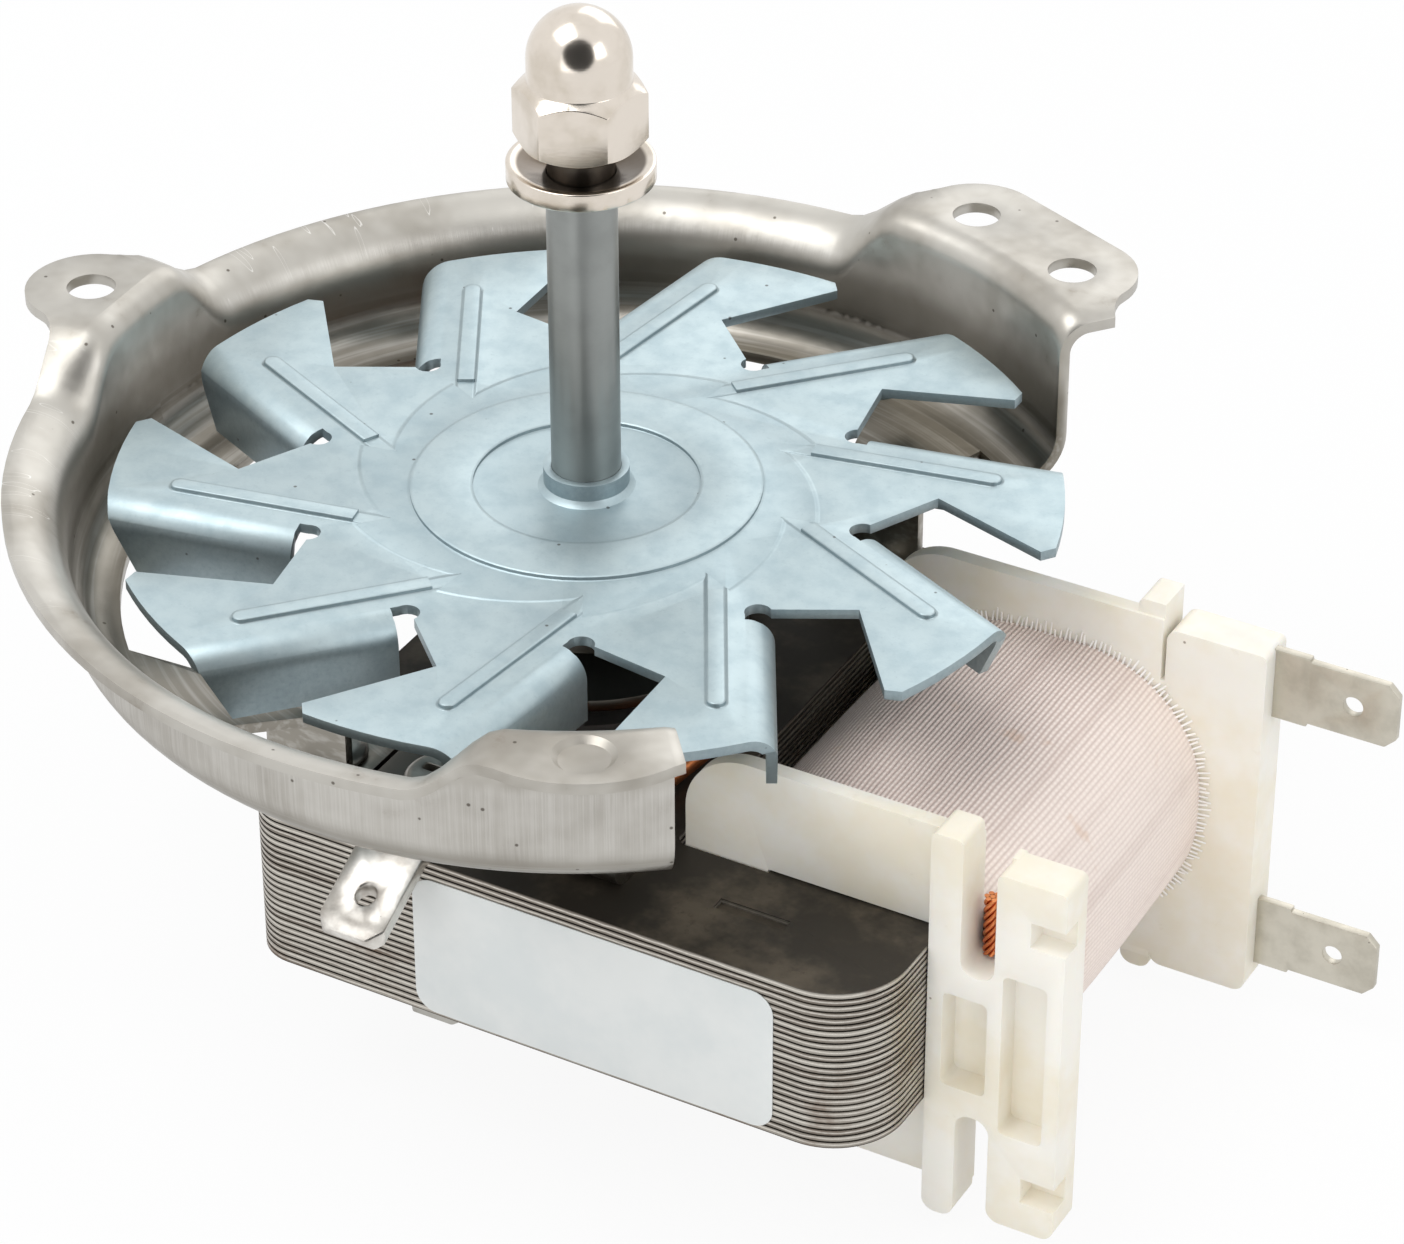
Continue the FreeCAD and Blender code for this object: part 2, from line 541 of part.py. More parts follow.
def make_cooling_fan():
    """A pressed sheet fan: ten blades, each with a vane bent down, a rib and a relief hole."""
    blades = 10
    pitch = 360.0 / blades
    thick = mm("fan_sheet")
    top = mm("fan_top")
    bend_out = mm("vane_bend")
    bend_in = bend_out - thick
    depth = mm("vane_depth")
    axis = V(0, 0, 1)
    inner, outer, tip, notch = blade_points()
    edges = []
    for k in range(blades):
        turn = FreeCAD.Rotation(axis, -pitch * k)
        after = FreeCAD.Rotation(axis, -pitch * (k + 1))
        start = turn.multVec(outer)
        stop = turn.multVec(tip[0])
        middle = (start + stop).normalize() * mm("fan_radius")
        edges.append(Part.makeLine(turn.multVec(inner), start))
        edges.append(Part.Arc(start, middle, stop).toShape())
        edges.append(Part.makeLine(stop, turn.multVec(tip[1])))
        edges.append(Part.makeLine(turn.multVec(tip[1]), turn.multVec(notch)))
        edges.append(Part.makeLine(turn.multVec(notch), after.multVec(inner)))
    plate = Part.Face(Part.Wire(edges)).extrude(V(0, 0, -thick))

    line = mm("vane_line")
    half = math.sqrt(0.5)
    u_flat = -(line - bend_out)
    u_back = -line + thick
    u_root = u_flat + 0.3
    outer_middle = V(u_flat - bend_out * half, 0, bend_out * (half - 1))
    inner_middle = V(u_flat - bend_in * half, 0, bend_in * half - bend_out)
    section = [
        Part.makeLine(V(u_root, 0, 0), V(u_flat, 0, 0)),
        Part.Arc(V(u_flat, 0, 0), outer_middle, V(-line, 0, -bend_out)).toShape(),
        Part.makeLine(V(-line, 0, -bend_out), V(-line, 0, -depth)),
        Part.makeLine(V(-line, 0, -depth), V(u_back, 0, -depth)),
        Part.makeLine(V(u_back, 0, -depth), V(u_back, 0, -bend_out)),
        Part.Arc(V(u_back, 0, -bend_out), inner_middle, V(u_flat, 0, -thick)).toShape(),
        Part.makeLine(V(u_flat, 0, -thick), V(u_root, 0, -thick)),
        Part.makeLine(V(u_root, 0, -thick), V(u_root, 0, 0)),
    ]
    start = mm("vane_start")
    stop = math.sqrt(mm("fan_radius") ** 2 - line ** 2)
    vane = Part.Face(Part.Wire(section)).extrude(V(0, stop + 3 - start, 0))
    vane.translate(V(0, start, 0))
    side = [
        V(-line - 1, start, 1),
        V(-line - 1, start, -depth - 1),
        V(-line - 1, stop - mm("vane_slant"), -depth - 1),
        V(-line - 1, stop - mm("vane_slant"), -depth),
        V(-line - 1, stop, -0.6 * bend_out),
        V(-line - 1, stop + 3, -0.6 * bend_out),
        V(-line - 1, stop + 3, 1),
    ]
    keeper = Part.Face(Part.makePolygon(side + [side[0]])).extrude(V(bend_out + 3, 0, 0))
    round_edge = Part.makeCylinder(mm("fan_radius"), depth + 4, V(0, 0, -depth - 2))
    vane = vane.common(keeper).common(round_edge)
    relief_x = -(line - bend_out) - mm("relief_side")
    relief_y = mm("blade_root") + mm("relief_along")
    relief = Part.makeCylinder(mm("relief_radius"), 4 * thick, V(relief_x, relief_y, -2 * thick))
    rib_line = mm("rib_line")
    rib = Part.makeBox(
        2 * mm("rib_radius"), mm("rib_stop") - mm("rib_start"), mm("rib_raise"),
        V(-rib_line - mm("rib_radius"), mm("rib_start"), 0))
    rib_end = Part.makeCylinder(mm("rib_radius"), mm("rib_raise"), V(-rib_line, mm("rib_stop"), 0))
    rib = rib.fuse(rib_end)
    for piece in (vane, relief, rib):
        piece.rotate(V(0, 0, 0), axis, mm("fan_phase"))
    vanes = []
    reliefs = []
    ribs = []
    for k in range(blades):
        for source, group in ((vane, vanes), (relief, reliefs), (rib, ribs)):
            copy = source.copy()
            copy.rotate(V(0, 0, 0), axis, -pitch * k)
            group.append(copy)
    emboss = Part.makeCylinder(mm("emboss_outer"), mm("rib_raise"))
    emboss = emboss.cut(Part.makeCylinder(mm("emboss_inner"), mm("rib_raise")))
    collar = Part.makeCylinder(mm("collar_radius"), mm("collar_height"))
    foot = Part.makeCone(mm("collar_radius") + mm("collar_foot"), mm("collar_radius"), mm("collar_foot"))
    whole = plate.fuse(vanes + ribs + [emboss, collar, foot])
    shaft_hole = Part.makeCylinder(
        mm("shaft_radius") + mm("fit_gap"), mm("collar_height") + 4 * thick, V(0, 0, -2 * thick))
    whole = whole.cut(reliefs + [shaft_hole]).removeSplitter()
    whole.translate(V(0, 0, top))
    solid("cooling_fan", whole)


def make_stack():
    """The C-shaped laminations: bore, coil window, holes and the grooves between sheets."""
    body = new_body("stator_stack")
    sketch = new_sketch(body, "XY_Plane", "stack_top - stack_height")
    square_outline(sketch, [
        ("stack_left", "- stack_half", "left_round"),
        ("stack_right", "- stack_half", "right_round"),
        ("stack_right", "- leg_inner", None),
        ("window_left", "- leg_inner", "window_round"),
        ("window_left", "leg_inner", "window_round"),
        ("stack_right", "leg_inner", None),
        ("stack_right", "stack_half", "right_round"),
        ("stack_left", "stack_half", "left_round"),
    ])
    circle(sketch, "0", "0", "rotor_radius + air_gap")
    pad(body, sketch, "stack_height")
    holes = new_sketch(body, "XY_Plane", "stack_top")
    for side in ("", "- "):
        circle(holes, "0", f"{side}screw_place", "screw_radius + screw_gap")
        circle(holes, "leg_front_x", f"{side}leg_rivet_y", "rivet_radius + rivet_gap")
        circle(holes, "leg_back_x", f"{side}leg_rivet_y", "rivet_radius + rivet_gap")
    for x, y in ring_places():
        circle(holes, x, y, "ring_wire + ring_gap")
    pocket(body, holes, "stack_height")
    marks = new_sketch(body, "XY_Plane", "stack_top")
    for side in ("", "- "):
        low = f"{side}mark_place - mark_half"
        high = f"{side}mark_place + mark_half"
        square_outline(marks, [
            ("mark_left", low, None),
            ("mark_right", low, None),
            ("mark_right", high, None),
            ("mark_left", high, None),
        ])
    pocket(body, marks, "mark_deep")
    sheet_high = "stack_height / sheet_count"
    grooves = new_sketch(body, "XY_Plane", f"stack_top - {sheet_high} - groove_high / 2")
    for out, sign in (("groove_deep * -8", -1), ("groove_deep", 1)):
        rounds = sign > 0
        left = "left_round - groove_deep" if rounds else None
        right = "right_round - groove_deep" if rounds else None
        square_outline(grooves, [
            (f"stack_left + {out}", f"- stack_half + {out}", left),
            (f"stack_right - ( {out} )", f"- stack_half + {out}", right),
            (f"stack_right - ( {out} )", f"- leg_inner - ( {out} )", None),
            (f"window_left - ( {out} )", f"- leg_inner - ( {out} )", None),
            (f"window_left - ( {out} )", f"leg_inner + ( {out} )", None),
            (f"stack_right - ( {out} )", f"leg_inner + ( {out} )", None),
            (f"stack_right - ( {out} )", f"stack_half - ( {out} )", right),
            (f"stack_left + {out}", f"stack_half - ( {out} )", left),
        ])
    groove = pocket(body, grooves, "groove_high", against=True)
    rows = body.newObject("PartDesign::LinearPattern", "stator_stack_rows")
    rows.Originals = [groove]
    rows.Direction = (grooves, ["N_Axis"])
    rows.Reversed = True
    rows.setExpression("Length", cell("stack_height * ( sheet_count - 2 ) / sheet_count"))
    rows.setExpression("Occurrences", cell("sheet_count - 1"))
    body.Tip = rows
    doc.recompute()


def ring_pairs():
    """Where each shading ring passes down through the stack, as expressions."""
    near = [
        ("long", ("16.2", "-4.4"), ("15.0", "-15.0")),
        ("short", ("12.4", "-10.2"), ("8.6", "-17.0")),
    ]
    pairs = []
    for size, first, last in near:
        pairs.append((f"near_{size}_shading_ring", first, last))
        turned_first = tuple(f"- {text}" for text in first)
        turned_last = tuple(f"- {text}" for text in last)
        pairs.append((f"far_{size}_shading_ring", turned_first, turned_last))
    return pairs


def ring_places():
    """All the stack's holes for shading rings."""
    places = []
    for name, first, last in ring_pairs():
        places.extend([first, last])
    return places


def make_shading_rings():
    """Closed copper rings of round bar, each through two holes of the stack."""
    wire = mm("ring_wire")
    top = mm("stack_top") + mm("ring_over") + wire
    bottom = mm("stack_top") - mm("stack_height") - mm("ring_over") - wire
    for name, first, last in ring_pairs():
        corners = []
        for height in (top, bottom):
            for x, y in (first, last):
                corners.append(V(worth(x), worth(y), height))
        path = [corners[0], corners[1], corners[3], corners[2]]
        bar = Part.makeSphere(wire, path[0])
        for k in range(4):
            here = path[k]
            along = path[(k + 1) % 4] - here
            rod = Part.makeCylinder(wire, along.Length, here, along)
            bar = bar.fuse([rod, Part.makeSphere(wire, here)])
        solid(name, bar.removeSplitter())


def make_coil_core():
    """The straight bar of laminations that closes the C, inside the coil."""
    core = doc.addObject("Part::Box", "coil_core")
    core.Label = "coil_core"
    core.setExpression("Length", "Sizes.stack_right - Sizes.core_left")
    core.setExpression("Width", "2 * Sizes.leg_inner")
    core.setExpression("Height", "Sizes.stack_height")
    core.setExpression("Placement.Base.x", "Sizes.core_left")
    core.setExpression("Placement.Base.y", "- Sizes.leg_inner")
    core.setExpression("Placement.Base.z", "Sizes.stack_top - Sizes.stack_height")


def tube_corners(growth):
    """The square section round the coil core, grown by an expression."""
    low = f"stack_top - stack_height - ( {growth} )"
    high = f"stack_top + {growth}"
    left = f"core_left - ( {growth} )"
    right = f"stack_right + {growth}"
    return [(left, low, None), (right, low, None), (right, high, None), (left, high, None)]


def make_bobbin():
    """One moulding: square tube, two flanges, and a terminal block on each flange."""
    body = new_body("bobbin")
    tube = new_sketch(body, "XZ_Plane")
    square_outline(tube, tube_corners("tube_gap"))
    square_outline(tube, tube_corners("tube_gap + tube_wall"))
    pad(body, tube, "2 * flange_face", midplane=True)

    flange = new_sketch(body, "XZ_Plane", "flange_face")
    square_outline(flange, [
        ("flange_left", "flange_low", "flange_round"),
        ("flange_right", "flange_low", "flange_turn"),
        ("flange_right", "flange_top", "flange_turn"),
        ("flange_left", "flange_top", "flange_round"),
    ])
    square_outline(flange, tube_corners("tube_gap"))
    near_flange = pad(body, flange, "flange_thick", against=True)

    block = new_sketch(body, "XZ_Plane", "block_inner")
    square_outline(block, [
        ("post_left", "prong_bottom", "block_round"),
        ("notch_left", "prong_bottom", "block_round"),
        ("notch_left", "slot_top", "notch_round"),
        ("notch_right", "slot_top", "notch_round"),
        ("notch_right", "block_bottom", "block_round"),
        ("block_right", "block_bottom", "block_round"),
        ("block_right", "block_top", "pocket_round"),
        ("notch_right", "block_top", "pocket_round"),
        ("notch_right", "notch_floor", "notch_round"),
        ("notch_left", "notch_floor", "notch_round"),
        ("notch_left", "post_top", "pocket_round"),
        ("post_left", "post_top", "pocket_round"),
    ])
    near_block = pad(body, block, "block_outer - block_inner")

    mirror = body.newObject("PartDesign::Mirrored", "bobbin_mirror")
    mirror.Originals = [near_flange, near_block]
    for feature in body.Origin.OriginFeatures:
        if feature.Role == "XZ_Plane":
            mirror.MirrorPlane = (feature, [""])
    body.Tip = mirror
    doc.recompute()

    notch = new_sketch(body, "XZ_Plane")
    square_outline(notch, [
        ("notch_left", "notch_floor", "notch_round"),
        ("notch_right", "notch_floor", "notch_round"),
        ("notch_right", "block_top + 3", None),
        ("notch_left", "block_top + 3", None),
    ])
    pocket(body, notch, "2 * block_outer + 1", midplane=True)
    corner = new_sketch(body, "XZ_Plane")
    square_outline(corner, [
        ("notch_right", "block_top", None),
        ("block_right + 1", "block_top", None),
        ("block_right + 1", "block_top + 3", None),
        ("notch_right", "block_top + 3", None),
    ])
    pocket(body, corner, "2 * block_outer + 1", midplane=True)
    slot = new_sketch(body, "XZ_Plane")
    square_outline(slot, [
        ("notch_left", "prong_bottom - 1", None),
        ("notch_right", "prong_bottom - 1", None),
        ("notch_right", "slot_top", "notch_round"),
        ("notch_left", "slot_top", "notch_round"),
    ])
    pocket(body, slot, "2 * block_outer + 1", midplane=True)

    slab = new_sketch(body, "XZ_Plane", "- block_outer")
    square_outline(slab, [
        ("notch_left", "block_bottom", "block_round"),
        ("block_right", "block_bottom", "block_round"),
        ("block_right", "block_top", "pocket_round"),
        ("notch_left", "block_top", "block_round"),
    ])
    pad(body, slab, "block_outer - flange_face + flange_thick")
    slit = new_sketch(body, "XZ_Plane", "- block_outer")
    square_outline(slit, [
        ("notch_left - slit_wide", "coil_middle + slit_over", None),
        ("notch_left", "coil_middle + slit_over", None),
        ("notch_left", "post_top + 1", None),
        ("notch_left - slit_wide", "post_top + 1", None),
    ])
    pocket(body, slit, "block_outer - flange_face + flange_thick + 0.5", against=True)

    for side in ("block_outer", "- block_outer"):
        far = side.startswith("-")
        pockets = new_sketch(body, "XZ_Plane", side)
        for name in ("small", "tall"):
            square_outline(pockets, [
                (f"{name}_left", f"{name}_bottom", "pocket_round"),
                (f"{name}_right", f"{name}_bottom", "pocket_round"),
                (f"{name}_right", f"{name}_top", "pocket_round"),
                (f"{name}_left", f"{name}_top", "pocket_round"),
            ])
        pocket(body, pockets, "pocket_deep", against=far)
        hooks = new_sketch(body, "XZ_Plane", side)
        for middle in ("tab_upper", "tab_lower"):
            square_outline(hooks, [
                ("hook_left", f"{middle} - hook_high", None),
                ("block_right + 1", f"{middle} - hook_high", None),
                ("block_right + 1", middle, None),
                ("hook_left", middle, None),
            ])
        pocket(body, hooks, "hook_deep", against=far)

    seats = new_sketch(body, "XZ_Plane", "- tab_middle")
    for middle in ("tab_upper", "tab_lower"):
        square_outline(seats, [
            ("tab_root_left", f"{middle} - tab_root_high / 2", None),
            ("block_right + 1", f"{middle} - tab_root_high / 2", None),
            ("block_right + 1", f"{middle} + tab_root_high / 2", None),
            ("tab_root_left", f"{middle} + tab_root_high / 2", None),
        ])
    pocket(body, seats, "tab_thick", midplane=True)


def coil_section(growth):
    """The coil's section in the plane of X and Y: a rectangle with wide round corners."""
    radius = mm("coil_round") + growth
    across = mm("coil_half_wide") + growth - radius
    up = mm("coil_half_high") + growth - radius
    half = radius * math.sqrt(0.5)
    edges = []
    for sign_x, sign_y in ((1, 1), (-1, 1), (-1, -1), (1, -1)):
        centre = V(sign_x * across, sign_y * up, 0)
        side = centre + V(sign_x * radius, 0, 0)
        top = centre + V(0, sign_y * radius, 0)
        first, last = (side, top) if sign_x * sign_y > 0 else (top, side)
        middle = centre + V(sign_x * half, sign_y * half, 0)
        edges.append((first, middle, last))
    outline = []
    for k in range(4):
        first, middle, last = edges[k]
        outline.append(Part.Arc(first, middle, last).toShape())
        outline.append(Part.makeLine(last, edges[(k + 1) % 4][0]))
    return Part.Wire(outline)


def coil_barrel(trim):
    """The coil's swollen form, made smaller all round by trim."""
    centre = V(mm("coil_place"), 0, mm("coil_middle"))
    reach = mm("flange_face") - mm("flange_thick") - mm("fit_gap")
    wires = []
    for place, crown in ((-reach, 0.0), (0.0, mm("coil_crown")), (reach, 0.0)):
        wire = coil_section(crown - trim)
        wire.rotate(V(0, 0, 0), V(1, 0, 0), 90)
        wire.translate(centre + V(0, place, 0))
        wires.append(wire)
    return Part.makeLoft(wires, True, False)


def make_coil():
    """The copper winding round the bobbin's tube and the woven tape round the winding."""
    thick = mm("tape_thick")
    solid("tape_wrap", coil_barrel(0.0).cut(coil_barrel(thick)))
    growth = mm("tube_gap") + mm("tube_wall") + mm("fit_gap")
    wide = mm("stack_right") - mm("core_left") + 2 * growth
    high = mm("stack_height") + 2 * growth
    corner = V(mm("core_left") - growth, -mm("stack_half"), mm("stack_top") - mm("stack_height") - growth)
    hole = Part.makeBox(wide, 2 * mm("stack_half"), high, corner)
    solid("winding", coil_barrel(thick + mm("fit_gap")).cut(hole))


def make_near_lead():
    """The twisted copper lead that stands in the near wire notch."""
    lead = doc.addObject("Part::Cylinder", "near_lead")
    lead.Label = "near_lead"
    lead.setExpression("Radius", "Sizes.lead_radius")
    lead.setExpression("Height", "Sizes.lead_length")
    lead.setExpression("Placement.Base.x", "( Sizes.notch_left + Sizes.notch_right ) / 2 - Sizes.lead_side")
    lead.setExpression("Placement.Base.y", "- Sizes.flange_face + Sizes.flange_thick / 2")
    lead.setExpression("Placement.Base.z", "Sizes.notch_floor + Sizes.notch_round * 0.33")


def make_terminal(name, middle):
    """A flat blade terminal with a wider root and bevelled corners."""
    body = new_body(name)
    sketch = new_sketch(body, "XZ_Plane", "- tab_middle")
    root = "tab_root_high / 2"
    blade = "tab_high / 2"
    polygon(sketch, [
        ("tab_root_left", f"{middle} - {root}"),
        ("tab_step", f"{middle} - {root}"),
        ("tab_step", f"{middle} - {blade}"),
        ("tab_end - tab_bevel", f"{middle} - {blade}"),
        ("tab_end", f"{middle} - {blade} + tab_bevel"),
        ("tab_end", f"{middle} + {blade} - tab_bevel"),
        ("tab_end - tab_bevel", f"{middle} + {blade}"),
        ("tab_step", f"{middle} + {blade}"),
        ("tab_step", f"{middle} + {root}"),
        ("tab_root_left", f"{middle} + {root}"),
    ])
    circle(sketch, "tab_hole_place", middle, "tab_hole")
    pad(body, sketch, "tab_thick", midplane=True)


def make_label():
    """A bare rectangular label with rounded corners on the stack's near face."""
    body = new_body("rating_label")
    sketch = new_sketch(body, "XZ_Plane", "stack_half")
    square_outline(sketch, [
        ("label_left", "label_bottom", "label_round"),
        ("label_right", "label_bottom", "label_round"),
        ("label_right", "label_top", "label_round"),
        ("label_left", "label_top", "label_round"),
    ])
    pad(body, sketch, "label_thick")


def make_bracket(name, is_front):
    """A pressed bridge over the rotor with a bearing boss; the front one has an earth tab."""
    body = new_body(name)
    up = "+" if is_front else "-"
    down = "-" if is_front else "+"
    base = "stack_top" if is_front else "stack_top - stack_height"
    sole = f"{base}"
    foot_top = f"{base} {up} bracket_sheet"
    under = f"{base} {up} bracket_rise"
    over = f"{base} {up} ( bracket_rise + bracket_sheet )"
    sketch = new_sketch(body, "YZ_Plane")
    polygon(sketch, [
        ("- bracket_reach", sole),
        ("- bracket_foot", sole),
        ("- bracket_shoulder", under),
        ("bracket_shoulder", under),
        ("bracket_foot", sole),
        ("bracket_reach", sole),
        ("bracket_reach", foot_top),
        ("bracket_foot + bracket_sheet * 0.35", foot_top),
        ("bracket_shoulder + bracket_sheet * 0.35", over),
        ("- bracket_shoulder - bracket_sheet * 0.35", over),
        ("- bracket_foot - bracket_sheet * 0.35", foot_top),
        ("- bracket_reach", foot_top),
    ])
    pad(body, sketch, "2 * bracket_half_wide", midplane=True)
    wing = new_sketch(body, "XY_Plane", under)
    circle(wing, "0", "0", "bracket_shoulder - 1.5")
    pad(body, wing, "bracket_sheet", against=not is_front)
    boss = new_sketch(body, "XZ_Plane")
    polygon(boss, [
        ("bush_radius", under),
        ("bush_radius + boss_wall", under),
        ("bush_radius + boss_wall", f"{under} {up} boss_high"),
        ("bush_radius", f"{under} {up} boss_high"),
    ])
    turn = body.newObject("PartDesign::Revolution", f"{name}_boss")
    turn.Profile = boss
    turn.ReferenceAxis = (boss, ["V_Axis"])
    turn.Angle = 360
    doc.recompute()
    if is_front:
        fall = "earth_angle * 1 deg"
        ahead = f"earth_long * cos( {fall} )"
        drop = f"earth_long * sin( {fall} )"
        end = f"- earth_bend - {ahead}"
        back_end = f"{end} + bracket_sheet * sin( {fall} )"
        back_low = f"{foot_top} - {drop} - bracket_sheet * cos( {fall} )"
        tab = new_sketch(body, "YZ_Plane")
        polygon(tab, [
            ("- bracket_foot - 3", sole),
            ("- bracket_foot - 3", foot_top),
            ("- earth_bend", foot_top),
            (end, f"{foot_top} - {drop}"),
            (back_end, back_low),
            ("- earth_bend + bracket_sheet * 0.25", sole),
        ])
        pad(body, tab, "2 * earth_half", midplane=True)
    bores = new_sketch(body, "XY_Plane", base)
    circle(bores, "0", "0", "bush_radius")
    for side in ("", "- "):
        circle(bores, "0", f"{side}screw_place", "screw_radius + screw_gap")
    pocket(body, bores, "bracket_rise + boss_high + 1", against=is_front)
    if is_front:
        hole = new_sketch(body, "XY_Plane", f"{sole} - 8")
        place = f"- earth_bend - earth_hole_place * cos( {fall} )"
        circle(hole, "0", place, "earth_hole")
        pocket(body, hole, "12", against=True)
        corners = new_sketch(body, "XY_Plane", f"{sole} - 8")
        for side in ("", "- "):
            reach = "earth_half" if side == "" else "- earth_half"
            back = f"{side}( earth_half - earth_bevel )"
            polygon(corners, [
                (back, f"{end} - 1"),
                (f"{reach} {'+' if side == '' else '-'} 1", f"{end} - 1"),
                (f"{reach} {'+' if side == '' else '-'} 1", f"{end} + earth_bevel + 1"),
                (reach, f"{end} + earth_bevel"),
                (back, end),
            ])
        pocket(body, corners, "12", against=True)


def make_bearings():
    """Bushes, felt rings, retaining discs and thrust washers of both bearings."""
    for name, up, base in (("front", "+", "stack_top"), ("rear", "-", "stack_top - stack_height")):
        start = f"{base} {up} bracket_rise"
        stop = f"{start} {up} bush_high"
        bore = "shaft_radius + run_gap"
        turned(f"{name}_bush", [
            (f"{bore} + bush_bevel", start),
            ("bush_radius - bush_bevel", start),
            ("bush_radius", f"{start} {up} bush_bevel"),
            ("bush_radius", f"{stop} {'-' if up == '+' else '+'} bush_bevel"),
            ("bush_radius - bush_bevel", stop),
            (f"{bore} + bush_bevel", stop),
            (bore, f"{stop} {'-' if up == '+' else '+'} bush_bevel"),
            (bore, f"{start} {up} bush_bevel"),
        ])
        felt_stop = f"{stop} {up} felt_high"
        loose = "shaft_radius + felt_gap"
        ring(f"{name}_felt", loose, "bush_radius - fit_gap", stop, felt_stop)
        ring(f"{name}_retainer", loose, "bush_radius - fit_gap", felt_stop, f"{felt_stop} {up} clip_high")
        back = f"{start} {'-' if up == '+' else '+'} run_gap"
        ring(f"{name}_thrust_washer", "shaft_radius + fit_gap", "thrust_radius", back,
             f"{back} {'-' if up == '+' else '+'} thrust_high")


def make_rotor():
    """The rotor's laminated core and the cage cast through its slots."""
    low = "stack_top - stack_height"
    core = new_body("rotor_core")
    sketch = new_sketch(core, "XY_Plane", low)
    circle(sketch, "0", "0", "rotor_radius")
    circle(sketch, "0", "0", "shaft_radius + fit_gap")
    pad(core, sketch, "stack_height")
    slot = new_sketch(core, "XY_Plane", low)
    circle(slot, "bar_place", "0", "bar_radius + fit_gap")
    cut = pocket(core, slot, "stack_height", against=True)
    polar(core, [cut], "bar_count")

    cage = new_body("rotor_cage")
    bottom = new_sketch(cage, "XY_Plane", f"{low} - ring_high")
    circle(bottom, "0", "0", "ring_outer")
    circle(bottom, "0", "0", "ring_inner")
    pad(cage, bottom, "ring_high")
    bars = new_sketch(cage, "XY_Plane", low)
    circle(bars, "bar_place", "0", "bar_radius")
    bar = pad(cage, bars, "stack_height")
    polar(cage, [bar], "bar_count")
    top = new_sketch(cage, "XY_Plane", "stack_top")
    circle(top, "0", "0", "ring_outer")
    circle(top, "0", "0", "ring_inner")
    pad(cage, top, "ring_high")


def make_spacers():
    """Turned sleeves on the shaft that keep the rotor between its thrust washers."""
    for name, up, base in (("upper", "+", "stack_top"), ("lower", "-", "stack_top - stack_height")):
        stop = f"{base} {up} ( bracket_rise - run_gap - thrust_high )"
        ring(f"{name}_spacer", "shaft_radius + fit_gap", "ring_inner - 1.5", base, stop)


def make_bracket_screws():
    """Two pan-head screws and their nuts through brackets and stack."""
    sheet_top = "Sizes.stack_top + Sizes.bracket_sheet"
    sheet_low = "Sizes.stack_top - Sizes.stack_height - Sizes.bracket_sheet"
    for name, side in (("near", "- "), ("far", "")):
        place = f"{side}Sizes.screw_place"
        head = doc.addObject("Part::Cylinder", f"{name}_screw_head")
        head.setExpression("Radius", "Sizes.screw_head_radius")
        head.setExpression("Height", "Sizes.screw_head_high")
        head.setExpression("Placement.Base.y", place)
        head.setExpression("Placement.Base.z", sheet_top)
        rounded = doc.addObject("Part::Fillet", f"{name}_screw_round")
        rounded.Base = head
        doc.recompute()
        rim = [k for k, edge in enumerate(head.Shape.Edges, start=1)
               if edge.BoundBox.ZMin > head.Shape.BoundBox.ZMax - 0.001]
        rounded.Edges = [(k, 1.0, 1.0) for k in rim]
        shank = doc.addObject("Part::Cylinder", f"{name}_screw_shank")
        shank.setExpression("Radius", "Sizes.screw_radius")
        shank_low = f"{sheet_low} - Sizes.nut_high - Sizes.screw_over"
        shank.setExpression("Height", f"{sheet_top} + 0.5 - ( {shank_low} )")
        shank.setExpression("Placement.Base.y", place)
        shank.setExpression("Placement.Base.z", shank_low)
        blank = doc.addObject("Part::MultiFuse", f"{name}_screw_blank")
        blank.Shapes = [rounded, shank]
        bars = []
        for long, wide in (("cross_long", "cross_wide"), ("cross_wide", "cross_long")):
            bar = doc.addObject("Part::Box", f"{name}_screw_{long}")
            bar.setExpression("Length", f"Sizes.{long}")
            bar.setExpression("Width", f"Sizes.{wide}")
            bar.setExpression("Height", "Sizes.screw_recess + 1")
            bar.setExpression("Placement.Base.x", f"- Sizes.{long} / 2")
            bar.setExpression("Placement.Base.y", f"{place} - Sizes.{wide} / 2")
            recess = f"{sheet_top} + Sizes.screw_head_high - Sizes.screw_recess"
            bar.setExpression("Placement.Base.z", recess)
            bars.append(bar)
        cross = doc.addObject("Part::MultiFuse", f"{name}_screw_cross")
        cross.Shapes = bars
        screw = doc.addObject("Part::Cut", f"{name}_bracket_screw")
        screw.Label = f"{name}_bracket_screw"
        screw.Base = blank
        screw.Tool = cross

        hexagon = doc.addObject("Part::Prism", f"{name}_nut_hexagon")
        hexagon.Polygon = 6
        hexagon.setExpression("Circumradius", "Sizes.nut_wide / sqrt(3)")
        hexagon.setExpression("Height", "Sizes.nut_high")
        hexagon.setExpression("Placement.Base.y", place)
        hexagon.setExpression("Placement.Base.z", f"{sheet_low} - Sizes.nut_high")
        bore = doc.addObject("Part::Cylinder", f"{name}_nut_bore")
        bore.setExpression("Radius", "Sizes.screw_radius + Sizes.fit_gap")
        bore.setExpression("Height", "Sizes.nut_high")
        bore.setExpression("Placement.Base.y", place)
        bore.setExpression("Placement.Base.z", f"{sheet_low} - Sizes.nut_high")
        nut = doc.addObject("Part::Cut", f"{name}_bracket_nut")
        nut.Label = f"{name}_bracket_nut"
        nut.Base = hexagon
        nut.Tool = bore


